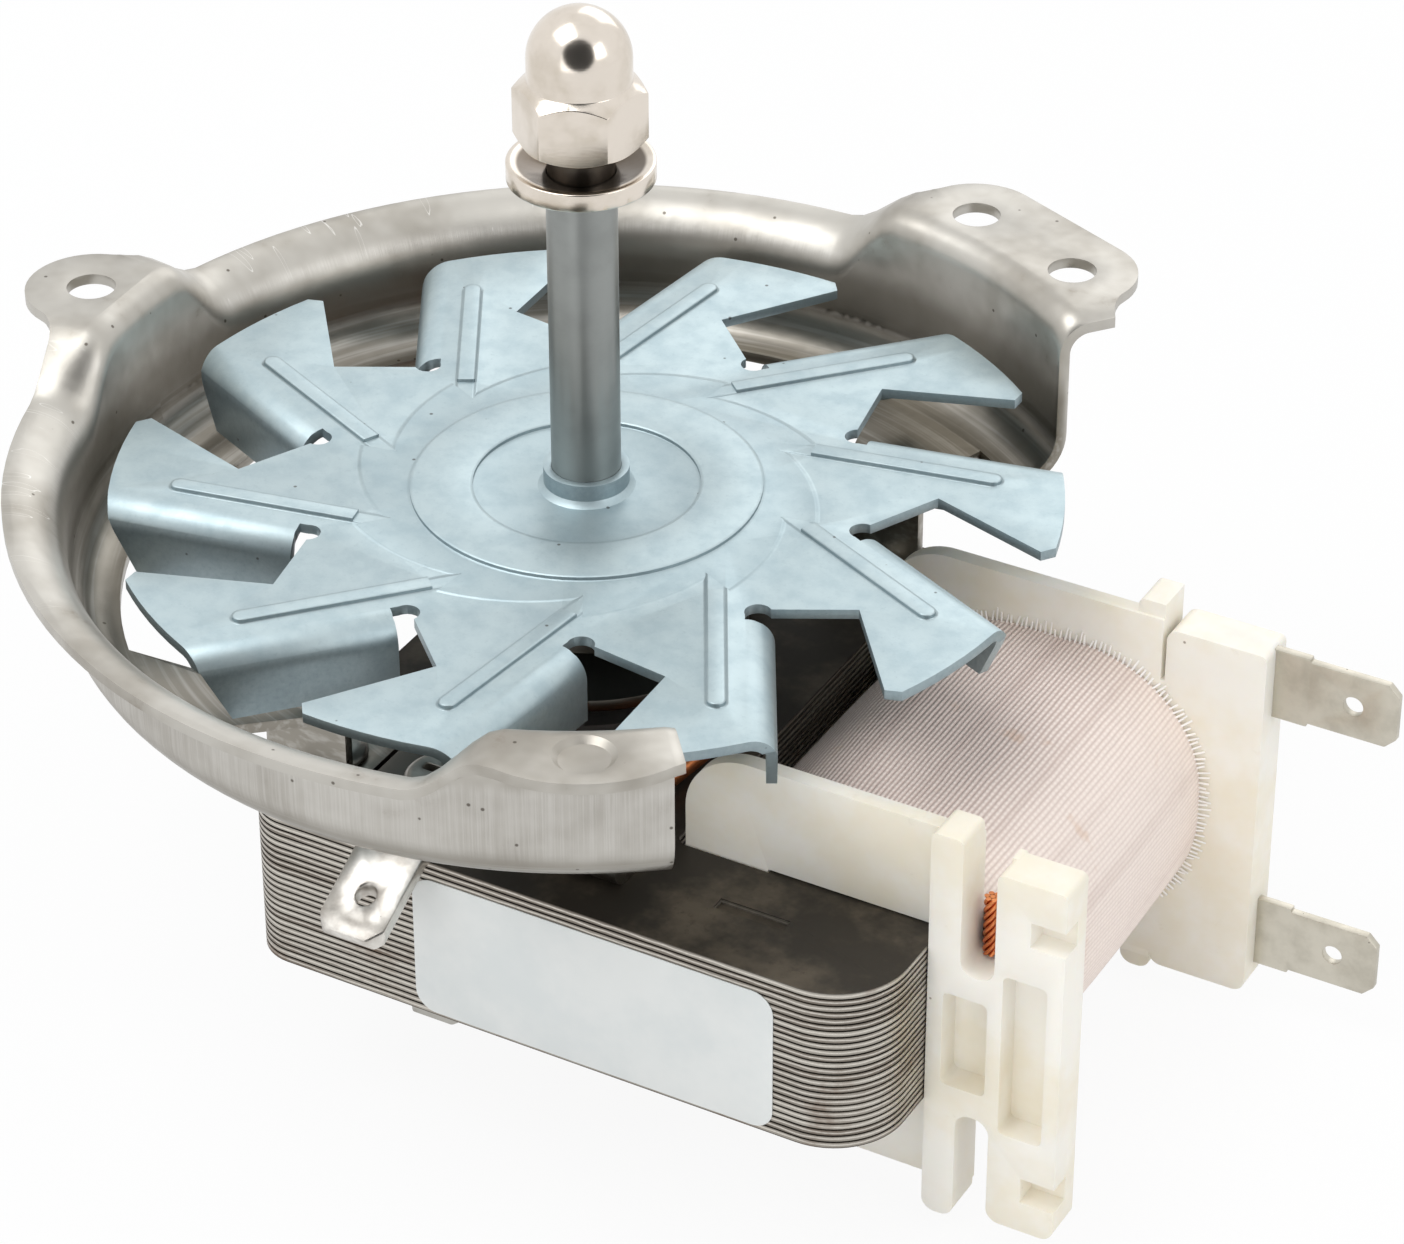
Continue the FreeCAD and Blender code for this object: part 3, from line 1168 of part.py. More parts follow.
def make_frame_rivets():
    """Four rivets through the frame's legs and the stack."""
    top = "stack_top + frame_sheet"
    low = "stack_top - stack_height"
    for name, x, side in (
        ("near_front", "leg_front_x", "- "),
        ("far_front", "leg_front_x", ""),
        ("near_back", "leg_back_x", "- "),
        ("far_back", "leg_back_x", ""),
    ):
        rivet = turned(f"{name}_rivet", [
            ("0", f"{low} - rivet_head_high"),
            ("rivet_head * 0.7", f"{low} - rivet_head_high"),
            ("rivet_head", f"{low} - rivet_head_high * 0.5"),
            ("rivet_head", low),
            ("rivet_radius", low),
            ("rivet_radius", top),
            ("rivet_head", top),
            ("rivet_head", f"{top} + rivet_head_high * 0.5"),
            ("rivet_head * 0.7", f"{top} + rivet_head_high"),
            ("0", f"{top} + rivet_head_high"),
        ])
        rivet.setExpression("Placement.Base.x", cell(x))
        rivet.setExpression("Placement.Base.y", cell(f"{side}leg_rivet_y"))


def rim_section(degrees, height, bend, reach):
    """The frame's wall and turned brim, cut upright at one angle."""
    thick = mm("frame_sheet")
    wall = mm("wall_inner")
    low = mm("floor_top") + mm("floor_bend")
    half = math.sqrt(0.5)
    middle = height - bend
    inner_bend = bend - thick
    outline = [
        Part.makeLine(V(wall, 0, low), V(wall, 0, middle)),
        Part.Arc(V(wall, 0, middle), V(wall + bend * (1 - half), 0, middle + bend * half),
                 V(wall + bend, 0, height)).toShape(),
        Part.makeLine(V(wall + bend, 0, height), V(reach, 0, height)),
        Part.makeLine(V(reach, 0, height), V(reach, 0, height - thick)),
        Part.makeLine(V(reach, 0, height - thick), V(wall + bend, 0, height - thick)),
        Part.Arc(V(wall + bend, 0, height - thick),
                 V(wall + bend - inner_bend * half, 0, middle + inner_bend * half),
                 V(wall + thick, 0, middle)).toShape(),
        Part.makeLine(V(wall + thick, 0, middle), V(wall + thick, 0, low)),
        Part.makeLine(V(wall + thick, 0, low), V(wall, 0, low)),
    ]
    wire = Part.Wire(outline)
    wire.rotate(V(0, 0, 0), V(0, 0, 1), degrees)
    return wire


def flat_ears():
    """The middle and the half angle of the brim's flat stretch at each ear."""
    half_ear = math.degrees(mm("ear_radius") / mm("ear_place"))
    return [
        (mm("left_ear"), half_ear),
        (mm("side_ear") + mm("side_pitch") / 2, half_ear + mm("side_pitch") / 2),
        (mm("front_ear") + 360.0, mm("front_flat")),
    ]


def rise_share(degrees):
    """How far the brim has climbed to ear height at an angle, from 0 to 1."""
    share = 0.0
    for middle, flat_half in flat_ears():
        away = abs((degrees - middle + 180.0) % 360.0 - 180.0) - flat_half
        climb = 1.0 - away / mm("ear_rise")
        climb = min(1.0, max(0.0, climb))
        share = max(share, climb * climb * (3 - 2 * climb))
    return share


def rim_turns():
    """The angles at which the rim is cut: both ends, and even steps where the brim climbs."""
    start = mm("open_angle")
    stop = 360.0 - start
    steps = 6
    turns = [start, stop]
    for middle, flat_half in flat_ears():
        for side in (-1, 1):
            for k in range(steps + 1):
                degrees = middle + side * (flat_half + mm("ear_rise") * k / steps)
                if start + 0.2 < degrees < stop - 0.2:
                    turns.append(degrees)
    return sorted(turns)


def make_rim():
    """The frame's wall with its brim, which climbs to the ears, then trimmed to its outline."""
    reach = mm("ear_place") + mm("ear_radius") + 4
    parts = []
    turns = rim_turns()
    for here, there in zip(turns, turns[1:]):
        wires = []
        shares = []
        for degrees in (here, there):
            share = rise_share(degrees)
            height = mm("brim_top") * (1 - share)
            bend = mm("brim_bend") + (mm("ear_bend") - mm("brim_bend")) * share
            shares.append(share)
            wires.append(rim_section(degrees, height, bend, reach))
        if abs(shares[0] - shares[1]) < 0.0001:
            parts.append(Part.Face(wires[0]).revolve(V(0, 0, 0), V(0, 0, 1), there - here))
        else:
            parts.append(Part.makeLoft(wires, True, True))
    rim = parts[0].fuse(parts[1:]).removeSplitter()

    depth = 40.0
    outline = Part.makeCylinder(mm("brim_radius"), depth, V(0, 0, -depth + 1))
    spot = polar_spot(mm("front_pad_place"), mm("front_ear"), -depth + 1)
    pads = [Part.makeCylinder(mm("front_pad_radius"), depth, spot)]
    for degrees in (mm("left_ear"), mm("side_ear"), mm("side_ear") + mm("side_pitch")):
        spot = polar_spot(mm("ear_place"), degrees, -depth + 1)
        pads.append(Part.makeCylinder(mm("ear_radius"), depth, spot))
    first = polar_spot(mm("ear_place"), mm("side_ear"))
    last = polar_spot(mm("ear_place"), mm("side_ear") + mm("side_pitch"))
    out = (first + last).normalize() * mm("ear_radius")
    bridge = prism([first - out, first + out, last + out, last - out], depth)
    pads.append(bridge.translated(V(0, 0, -depth + 1)))
    outline = outline.fuse(pads).removeSplitter()
    corners = []
    for edge in outline.Edges:
        upright = abs(edge.BoundBox.ZLength - depth) < 0.01
        spot = math.hypot(edge.BoundBox.Center.x, edge.BoundBox.Center.y)
        if upright and abs(spot - mm("brim_radius")) < 0.01:
            corners.append(edge)
    outline = outline.makeFillet(4.0, corners)
    return rim.common(outline)


def leg(angle, x, side, wide):
    """A leg from the floor's edge inwards, down and onto the stack, on the side 1 or -1."""
    thick = mm("frame_sheet")
    floor = mm("floor_top")
    sole = mm("stack_top")
    drop = mm("leg_drop")
    bend = mm("leg_bend")
    wrap = bend + thick
    half = math.sqrt(0.5)
    start = mm("leg_rivet_y") - mm("leg_foot")
    stop = drop + wrap + 1.0
    edges = [
        Part.makeLine(V(0, start, sole), V(0, drop + thick - wrap, sole)),
        Part.Arc(V(0, drop + thick - wrap, sole),
                 V(0, drop + thick - wrap * (1 - half), sole + wrap * (1 - half)),
                 V(0, drop + thick, sole + wrap)).toShape(),
        Part.makeLine(V(0, drop + thick, sole + wrap), V(0, drop + thick, floor - thick - bend)),
        Part.Arc(V(0, drop + thick, floor - thick - bend),
                 V(0, drop + thick + bend * (1 - half), floor - thick - bend * (1 - half)),
                 V(0, drop + thick + bend, floor - thick)).toShape(),
        Part.makeLine(V(0, drop + thick + bend, floor - thick), V(0, stop, floor - thick)),
        Part.makeLine(V(0, stop, floor - thick), V(0, stop, floor)),
        Part.makeLine(V(0, stop, floor), V(0, drop + wrap, floor)),
        Part.Arc(V(0, drop + wrap, floor),
                 V(0, drop + wrap * (1 - half), floor - wrap * (1 - half)),
                 V(0, drop, floor - wrap)).toShape(),
        Part.makeLine(V(0, drop, floor - wrap), V(0, drop, sole + thick + bend)),
        Part.Arc(V(0, drop, sole + thick + bend),
                 V(0, drop - bend * (1 - half), sole + thick + bend * (1 - half)),
                 V(0, drop - bend, sole + thick)).toShape(),
        Part.makeLine(V(0, drop - bend, sole + thick), V(0, start, sole + thick)),
        Part.makeLine(V(0, start, sole + thick), V(0, start, sole)),
    ]
    strip = Part.Face(Part.Wire(edges)).extrude(V(wide, 0, 0))
    strip.translate(V(x - wide / 2, 0, 0))
    spread = mm("leg_spread")
    reach = mm("floor_inner") + 1.5
    tongue = prism([
        V(x - wide / 2, drop + wrap, floor - thick),
        V(x + wide / 2, drop + wrap, floor - thick),
        polar_spot(reach, angle - spread, floor - thick),
        polar_spot(reach, angle + spread, floor - thick),
    ], thick)
    spot = V(x, mm("leg_rivet_y"), sole - thick)
    hole = Part.makeCylinder(mm("rivet_radius") + mm("rivet_gap"), 3 * thick, spot)
    shape = strip.fuse(tongue).cut(hole)
    if side < 0:
        shape = shape.mirror(V(0, 0, 0), V(0, 1, 0))
    return shape


def make_mounting_frame():
    """One drawn sheet: floor ring, wall, brim with ears, and four legs down to the stack."""
    thick = mm("frame_sheet")
    wall = mm("wall_inner")
    bend = mm("floor_bend")
    floor = mm("floor_top")
    half = math.sqrt(0.5)
    centre = wall - bend
    outline = [
        Part.makeLine(V(mm("floor_inner"), 0, floor), V(centre, 0, floor)),
        Part.Arc(V(centre, 0, floor), V(centre + bend * half, 0, floor + bend * (1 - half)),
                 V(wall, 0, floor + bend)).toShape(),
        Part.makeLine(V(wall, 0, floor + bend), V(wall + thick, 0, floor + bend)),
        Part.Arc(V(wall + thick, 0, floor + bend),
                 V(centre + (bend + thick) * half, 0, floor + bend - (bend + thick) * half),
                 V(centre, 0, floor - thick)).toShape(),
        Part.makeLine(V(centre, 0, floor - thick), V(mm("floor_inner"), 0, floor - thick)),
        Part.makeLine(V(mm("floor_inner"), 0, floor - thick), V(mm("floor_inner"), 0, floor)),
    ]
    section = Part.Face(Part.Wire(outline))
    section.rotate(V(0, 0, 0), V(0, 0, 1), mm("open_angle"))
    floor_ring = section.revolve(V(0, 0, 0), V(0, 0, 1), 360.0 - 2 * mm("open_angle"))

    lobe_angle = mm("lobe_half")
    lobe = prism([
        polar_spot(mm("lobe_inner"), 180.0 - lobe_angle * 0.8),
        polar_spot(mm("lobe_inner"), 180.0 + lobe_angle * 0.8),
        polar_spot(mm("floor_inner") + 1.0, 180.0 + lobe_angle),
        polar_spot(mm("floor_inner") + 1.0, 180.0 - lobe_angle),
    ], thick).translated(V(0, 0, floor - thick))
    legs = []
    for side in (1, -1):
        legs.append(leg(mm("leg_front_angle"), mm("leg_front_x"), side, mm("leg_front_wide")))
        legs.append(leg(mm("leg_back_angle"), mm("leg_back_x"), side, mm("leg_back_wide")))
    frame = make_rim().fuse([floor_ring, lobe] + legs)
    holes = []
    for degrees in (mm("left_ear"), mm("side_ear"), mm("side_ear") + mm("side_pitch")):
        spot = polar_spot(mm("ear_place"), degrees, -4 * thick)
        holes.append(Part.makeCylinder(mm("ear_hole"), 8 * thick, spot))
    dimple = mm("dimple_radius")
    spot = polar_spot(mm("dimple_place"), mm("front_ear"), -mm("dimple_deep"))
    holes.append(Part.makeCone(dimple * 0.8, dimple, mm("dimple_deep"), spot))
    solid("mounting_frame", frame.cut(holes).removeSplitter())


make_shaft()
make_dished_washer()
make_cap_nut()
make_cooling_fan()
make_stack()
make_shading_rings()
make_coil_core()
make_bobbin()
make_coil()
make_near_lead()
make_terminal("upper_terminal", "tab_upper")
make_terminal("lower_terminal", "tab_lower")
make_label()
make_bracket("front_bearing_bracket", True)
make_bracket("rear_bearing_bracket", False)
make_bearings()
make_rotor()
make_spacers()
make_bracket_screws()
make_frame_rivets()
make_mounting_frame()
doc.recompute()

NODES = [
    "mounting_frame", "stator_stack", "coil_core", "bobbin", "winding", "tape_wrap", "near_lead",
    "upper_terminal", "lower_terminal", "rating_label",
    "near_long_shading_ring", "near_short_shading_ring",
    "far_long_shading_ring", "far_short_shading_ring",
    "front_bearing_bracket", "rear_bearing_bracket", "front_bush", "rear_bush",
    "front_felt", "rear_felt", "front_retainer", "rear_retainer",
    "near_bracket_screw", "far_bracket_screw", "near_bracket_nut", "far_bracket_nut",
    "near_front_rivet", "far_front_rivet", "near_back_rivet", "far_back_rivet",
    "shaft", "rotor_core", "rotor_cage", "upper_spacer", "lower_spacer",
    "front_thrust_washer", "rear_thrust_washer",
    "cooling_fan", "dished_washer", "cap_nut",
]

for item in doc.Objects:
    if "Invalid" in item.State or "Error" in item.State:
        raise RuntimeError(f"{item.Name} failed")

pieces = {item.Label: item for item in doc.Objects}
os.makedirs("parts", exist_ok=True)
for node in NODES:
    shape = pieces[node].Shape
    if shape.isNull() or not shape.isValid():
        raise RuntimeError(f"{node} has no sound shape")
    if len(shape.Solids) != 1:
        raise RuntimeError(f"{node} has {len(shape.Solids)} solids")
    shape.exportStep(f"parts/{node}.step")
    print(node, round(shape.Volume), [round(v, 2) for v in (
        shape.BoundBox.XMin, shape.BoundBox.XMax, shape.BoundBox.YMin, shape.BoundBox.YMax,
        shape.BoundBox.ZMin, shape.BoundBox.ZMax)])
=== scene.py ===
"""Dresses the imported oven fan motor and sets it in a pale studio."""

from __future__ import annotations

import logging
import math
import random
from dataclasses import dataclass, field
from enum import Enum
from typing import Callable, Iterable

import bpy
from mathutils import Matrix, Vector

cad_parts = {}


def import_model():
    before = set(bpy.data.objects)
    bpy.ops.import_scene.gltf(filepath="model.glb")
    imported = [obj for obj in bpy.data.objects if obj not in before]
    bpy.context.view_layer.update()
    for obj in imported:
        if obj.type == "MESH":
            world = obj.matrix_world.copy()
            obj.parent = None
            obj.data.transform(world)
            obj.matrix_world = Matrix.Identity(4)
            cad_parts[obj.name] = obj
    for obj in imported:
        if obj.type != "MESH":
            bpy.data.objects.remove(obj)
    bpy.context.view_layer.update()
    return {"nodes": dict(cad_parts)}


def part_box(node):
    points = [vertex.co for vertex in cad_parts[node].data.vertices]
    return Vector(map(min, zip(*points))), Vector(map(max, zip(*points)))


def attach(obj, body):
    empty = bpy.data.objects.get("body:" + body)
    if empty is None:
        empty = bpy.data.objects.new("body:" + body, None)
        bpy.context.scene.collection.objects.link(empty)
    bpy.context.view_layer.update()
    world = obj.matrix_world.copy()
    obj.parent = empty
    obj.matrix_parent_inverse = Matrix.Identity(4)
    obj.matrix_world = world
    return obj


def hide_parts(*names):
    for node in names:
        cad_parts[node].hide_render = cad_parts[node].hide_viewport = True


LOG = logging.getLogger("oven_fan_motor")
Colour = tuple[float, float, float]


def paint(red: int, green: int, blue: int) -> Colour:
    """Turns a colour as a screen shows it, 0 to 255, into the shader's linear values.

    Args:
        red: Red, 0 to 255.
        green: Green, 0 to 255.
        blue: Blue, 0 to 255.

    Returns:
        The three linear values.
    """
    values = []
    for part in (red, green, blue):
        share = part / 255.0
        values.append(share / 12.92 if share <= 0.04045 else ((share + 0.055) / 1.055) ** 2.4)
    return (values[0], values[1], values[2])


class Body(Enum):
    """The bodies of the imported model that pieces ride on."""

    STATOR = "stator"
    ROTOR = "rotor"


class Wire:
    """The value of one socket, with arithmetic that adds Math nodes."""

    def __init__(self, bench: Bench, socket: bpy.types.NodeSocket) -> None:
        """Keeps the bench and the socket that carries the value."""
        self.bench = bench
        self.socket = socket

    def math(self, operation: str, *others: Wire | float) -> Wire:
        """Adds one Math node whose first input is this value."""
        return self.bench.math(operation, self, *others)

    def __add__(self, other: Wire | float) -> Wire:
        """Sum."""
        return self.math("ADD", other)

    __radd__ = __add__

    def __sub__(self, other: Wire | float) -> Wire:
        """Difference."""
        return self.math("SUBTRACT", other)

    def __rsub__(self, other: float) -> Wire:
        """Difference, with the number first."""
        return self.bench.math("SUBTRACT", other, self)

    def __mul__(self, other: Wire | float) -> Wire:
        """Product."""
        return self.math("MULTIPLY", other)

    __rmul__ = __mul__

    def __truediv__(self, other: Wire | float) -> Wire:
        """Quotient."""
        return self.math("DIVIDE", other)

    def step_up(self, low: float, high: float) -> Wire:
        """Goes smoothly from 0 to 1.

        Args:
            low: The value up to which the result is 0.
            high: The value from which it is 1.

        Returns:
            The step.
        """
        made = self.bench.node(
            "ShaderNodeMapRange",
            {"interpolation_type": "SMOOTHSTEP"},
            {0: self, 1: low, 2: high, 3: 0.0, 4: 1.0},
        )
        return Wire(self.bench, made.outputs[0])

    def step_down(self, low: float, high: float) -> Wire:
        """Goes smoothly from 1 at low to 0 at high."""
        return 1.0 - self.step_up(low, high)

    def band(self, middle: float, half: float, soft: float) -> Wire:
        """Is 1 within half of the middle and fades over soft."""
        return (self - middle).math("ABSOLUTE").step_down(half, half + soft)


class Bench:
    """Adds the nodes of one material or world."""

    def __init__(self, name: str, world: bool = False) -> None:
        """Starts it empty.

        Args:
            name: The name of the material or world.
            world: Whether it is a world.
        """
        self.owner = (bpy.data.worlds if world else bpy.data.materials).new(name)
        self.owner.use_nodes = True
        self.tree = self.owner.node_tree
        self.tree.nodes.clear()
        self.place: bpy.types.Node | None = None

    def node(
        self,
        kind: str,
        settings: dict[str, object] | None = None,
        inputs: dict[str | int, object] | None = None,
    ) -> bpy.types.Node:
        """Adds a node, sets its settings and then its sockets.

        Args:
            kind: The node's type.
            settings: Its own settings.
            inputs: Values or wires, by socket name or number.

        Returns:
            The new node.
        """
        made = self.tree.nodes.new(kind)
        for key, value in (settings or {}).items():
            setattr(made, key, value)
        for key, value in (inputs or {}).items():
            if isinstance(value, Wire):
                self.tree.links.new(value.socket, made.inputs[key])
            elif made.inputs[key].type == "RGBA" and len(value) == 3:
                made.inputs[key].default_value = (*value, 1.0)
            else:
                made.inputs[key].default_value = value
        return made

    def math(self, operation: str, *values: Wire | float) -> Wire:
        """Adds one Math node with these inputs."""
        made = self.node("ShaderNodeMath", {"operation": operation}, dict(enumerate(values)))
        return Wire(self, made.outputs[0])

    def where(self) -> Wire:
        """The point on the object, in its own coordinates.

        Returns:
            The point.
        """
        if self.place is None:
            self.place = self.node("ShaderNodeTexCoord")
        return Wire(self, self.place.outputs["Object"])

    def upright(self) -> Wire:
        """How far the surface faces up or down.

        Returns:
            The z part of its direction in the object's own coordinates, without its sign.
        """
        self.where()
        normal = Wire(self, self.place.outputs["Normal"])
        made = self.node("ShaderNodeSeparateXYZ", None, {0: normal})
        return Wire(self, made.outputs[2]).math("ABSOLUTE")

    def axes(self) -> tuple[Wire, Wire, Wire]:
        """The point's x, y and z."""
        made = self.node("ShaderNodeSeparateXYZ", None, {0: self.where()})
        return tuple(Wire(self, out) for out in made.outputs)

    def point(self, x: Wire | float, y: Wire | float, z: Wire | float) -> Wire:
        """A vector from three values."""
        made = self.node("ShaderNodeCombineXYZ", None, {0: x, 1: y, 2: z})
        return Wire(self, made.outputs[0])

    def noise(
        self, scale: float, detail: float = 3.0, rough: float = 0.5, at: Wire | None = None
    ) -> Wire:
        """Soft noise, about 0 to 1.

        Args:
            scale: Features per metre.
            detail: Octaves.
            rough: Weight of the fine octaves.
            at: Where it is read, or None for the object's coordinates.

        Returns:
            The noise's value.
        """
        inputs = {
            "Vector": at or self.where(),
            "Scale": scale,
            "Detail": detail,
            "Roughness": rough,
        }
        return Wire(self, self.node("ShaderNodeTexNoise", None, inputs).outputs[0])

    def specks(self, scale: float, size: float) -> Wire:
        """Scattered small spots.

        Args:
            scale: Spots per metre.
            size: A spot's radius as a share of their distance.

        Returns:
            1 in a spot and 0 elsewhere.
        """
        inputs = {"Vector": self.where(), "Scale": scale, "Randomness": 1.0}
        cells = self.node("ShaderNodeTexVoronoi", {"feature": "F1"}, inputs)
        return Wire(self, cells.outputs["Distance"]).step_down(size * 0.5, size)

    def mix(self, share: Wire | float, first: Wire | Colour, second: Wire | Colour) -> Wire:
        """Mixes two colours.

        Args:
            share: How much of the second is in it, 0 to 1.
            first: The first colour.
            second: The second colour.

        Returns:
            The mixed colour.
        """
        made = self.node(
            "ShaderNodeMix", {"data_type": "RGBA"}, {0: share, 6: first, 7: second}
        )
        return Wire(self, made.outputs[2])

    def bump(self, height: Wire, depth: float, under: Wire | None = None) -> Wire:
        """Raises the surface by a height.

        Args:
            height: The height, 0 to 1.
            depth: How high 1 stands, in metres.
            under: Another bump that this one lies on.

        Returns:
            The surface's direction.
        """
        inputs: dict[str | int, object] = {"Height": height, "Distance": depth, "Strength": 1.0}
        if under is not None:
            inputs["Normal"] = under
        return Wire(self, self.node("ShaderNodeBump", None, inputs).outputs[0])

    def looked_at(self) -> Wire:
        """Finds the rays that a viewer sees by.

        Returns:
            1 for camera rays, also those that a piece mirrors or lets through, and 0 for others.
        """
        rays = self.node("ShaderNodeLightPath")
        seen = Wire(self, rays.outputs["Is Camera Ray"])
        for kind in ("Is Glossy Ray", "Is Transmission Ray"):
            seen = seen.math("MAXIMUM", Wire(self, rays.outputs[kind]))
        return seen

    def shader(self, kind: str, inputs: dict[str | int, object] | None = None) -> Wire:
        """Adds a shader; its plain colours may have three values."""
        return Wire(self, self.node(kind, None, inputs).outputs[0])

    def surface(self, inputs: dict[str | int, object]) -> bpy.types.Material:
        """Ends the material with a Principled shader.

        Args:
            inputs: Values or wires, by socket name; plain colours may have three values.

        Returns:
            The material.
        """
        shader = self.shader("ShaderNodeBsdfPrincipled", inputs)
        self.node("ShaderNodeOutputMaterial", None, {0: shader})
        return self.owner


@dataclass(frozen=True)
class Finish:
    """A finish, which makes one material."""

    name: str

    def make(self) -> bpy.types.Material:
        """Builds the material."""
        raise NotImplementedError


@dataclass(frozen=True)
class PlainMetal(Finish):
    """A worked metal: soft patches, fine grain, small dark specks and, where an inner colour is
    given, painted shade on the part past a y.
    """

    colour: Colour
    shade: Colour
    rough: float = 0.35
    grain: float = 0.000004
    speck: float = 0.0
    inner: Colour | None = None
    dirt: Colour = (0.05, 0.035, 0.025)
    painted_shade_from: float = -0.0276
    painted_shade_full: float = -0.0262

    def make(self) -> bpy.types.Material:
        """Builds the material.

        Returns:
            The material.
        """
        bench = Bench(self.name)
        patches = bench.noise(scale=260.0, detail=4.0, rough=0.6)
        colour = bench.mix(patches.step_up(0.38, 0.7), self.colour, self.shade)
        # Painted shade: past the given y the colour goes to the inner colour, darkening the part
        # behind the earth tab, under the fan.
        if self.inner is not None:
            inside = bench.axes()[1].step_up(self.painted_shade_from, self.painted_shade_full)
            colour = bench.mix(inside, colour, self.inner)
        if self.speck > 0:
            spots = bench.specks(scale=420.0, size=self.speck)
            colour = bench.mix(spots, colour, self.dirt)
        grain = bench.noise(scale=3200.0, detail=2.0, rough=0.6)
        rough = patches * 0.14 + (self.rough - 0.07)
        normal = bench.bump(grain, self.grain)
        return bench.surface(
            {"Base Color": colour, "Metallic": 1.0, "Roughness": rough, "Normal": normal}
        )


@dataclass(frozen=True)
class TurnedMetal(Finish):
    """A bar turned or ground about Z: fine rings, a little colour change, and a painted dark
    reflection and shade inside the washer's dish under the nut.
    """

    colour: Colour
    shade: Colour
    rough: float = 0.25
    painted_dark_reflection: Colour = paint(70, 58, 46)
    rings: float = 0.000003
    ring_scale: float = 5200.0
    dish_edge: tuple[float, float] = (0.0052, 0.0056)
    dish_floor: tuple[float, float] = (0.0236, 0.0239)
    dish_top: tuple[float, float] = (0.0264, 0.0266)

    def make(self) -> bpy.types.Material:
        """Builds the material.

        Returns:
            The material.
        """
        bench = Bench(self.name)
        x, y, z = bench.axes()
        radius = (x * x + y * y).math("SQRT")
        turned = bench.point(radius * self.ring_scale, z * self.ring_scale, 0.0)
        lines = bench.noise(scale=1.0, detail=2.0, rough=0.7, at=turned)
        patches = bench.noise(scale=300.0, detail=3.0)
        colour = bench.mix(patches.step_up(0.4, 0.75), self.colour, self.shade)
        # Painted dark reflection and shade: inside the washer's dish, between its floor and the
        # nut, the colour goes dark.
        dish = radius.step_down(*self.dish_edge) * z.step_up(*self.dish_floor)
        dish = dish * z.step_down(*self.dish_top)
        colour = bench.mix(dish * 0.85, colour, self.painted_dark_reflection)
        return bench.surface(
            {
                "Base Color": colour,
                "Metallic": 1.0,
                "Roughness": lines * 0.12 + (self.rough - 0.05),
                "Normal": bench.bump(lines, self.rings),
            }
        )


@dataclass(frozen=True)
class DrawnSteel(Finish):
    """The frame's drawn sheet: satin, warm grey, streaked down its wall and lightly stained, with
    a painted dark reflection on the inner wall and a painted sheen of rings on the cup floor.
    """

    colour: Colour = paint(197, 194, 187)
    shade: Colour = paint(164, 159, 150)
    pale: Colour = paint(228, 226, 222)
    stain: Colour = paint(122, 106, 88)
    painted_dark_reflection: Colour = paint(132, 127, 117)
    dirt: Colour = (0.06, 0.045, 0.03)
    brim: float = 0.0450

    def make(self) -> bpy.types.Material:
        """Builds the material.

        Returns:
            The material.
        """
        bench = Bench(self.name)
        x, y, z = bench.axes()
        turn = y.math("ARCTAN2", x)
        radius = (x * x + y * y).math("SQRT")
        down = bench.point(turn * 260.0, z * 60.0, radius * 60.0)
        streaks = bench.noise(scale=1.0, detail=4.0, rough=0.75, at=down)
        around = bench.point(turn * 1.5, z * 1200.0, radius * 1500.0)
        rings = bench.noise(scale=1.0, detail=2.0, rough=0.6, at=around)
        broad = bench.noise(scale=60.0, detail=4.0, rough=0.65)
        clouds = bench.noise(scale=240.0, detail=5.0, rough=0.7)
        outside = radius.step_up(self.brim, self.brim + 0.0006) * z.step_down(-0.0070, -0.0056)
        inside = z.step_down(-0.0125, -0.0100) * radius.step_down(self.brim, self.brim + 0.0004)
        colour = bench.mix(broad.step_up(0.38, 0.70), self.colour, self.shade)
        colour = bench.mix(clouds.step_up(0.60, 0.82) * 0.45, colour, self.stain)
        streaked = outside * (0.25 + streaks.step_up(0.40, 0.65) * 0.25)
        colour = bench.mix(streaked, colour, self.pale)
        # Painted dark reflection: the inner wall under the brim goes darker, as if it mirrored the
        # dark space under the fan.
        wall = radius.step_down(0.0449, 0.0458) * z.step_down(-0.0085, -0.0050)
        colour = bench.mix(wall * 0.8, colour, self.painted_dark_reflection)
        # Painted sheen: pale concentric rings on the cup floor, as highlights would fall on it.
        colour = bench.mix(inside * rings.step_up(0.45, 0.70) * 0.25, colour, self.pale)
        colour = bench.mix(self._scratches(bench, turn, radius) * 0.75, colour, self.pale)
        colour = bench.mix(bench.specks(scale=330.0, size=0.07) * 0.75, colour, self.dirt)
        rough = 0.33 + clouds * 0.14 + outside * 0.08 - inside * 0.06
        normal = bench.bump(bench.noise(scale=2600.0, detail=3.0, rough=0.6), 0.000006)
        normal = bench.bump(streaks * outside, 0.00003, normal)
        normal = bench.bump(rings * inside, 0.00001, normal)
        normal = bench.bump(bench.noise(scale=150.0, detail=3.0, rough=0.55), 0.00012, normal)
        return bench.surface(
            {"Base Color": colour, "Metallic": 1.0, "Roughness": rough, "Normal": normal}
        )

    def _scratches(self, bench: Bench, turn: Wire, radius: Wire) -> Wire:
        """Short light scratches across the brim on the left.

        Args:
            bench: The material's bench.
            turn: The point's angle about the axis.
            radius: Its distance from the axis.

        Returns:
            1 on a scratch and 0 elsewhere.
        """
        lines = bench.noise(
            scale=1.0, detail=1.0, rough=0.5, at=bench.point(turn * 45.0, radius * 130.0, 4.0)
        )
        side = turn.math("ABSOLUTE").band(middle=2.55, half=0.25, soft=0.2)
        left = side * radius.step_up(0.0452, 0.0458)
        return lines.band(middle=0.64, half=0.003, soft=0.005) * left


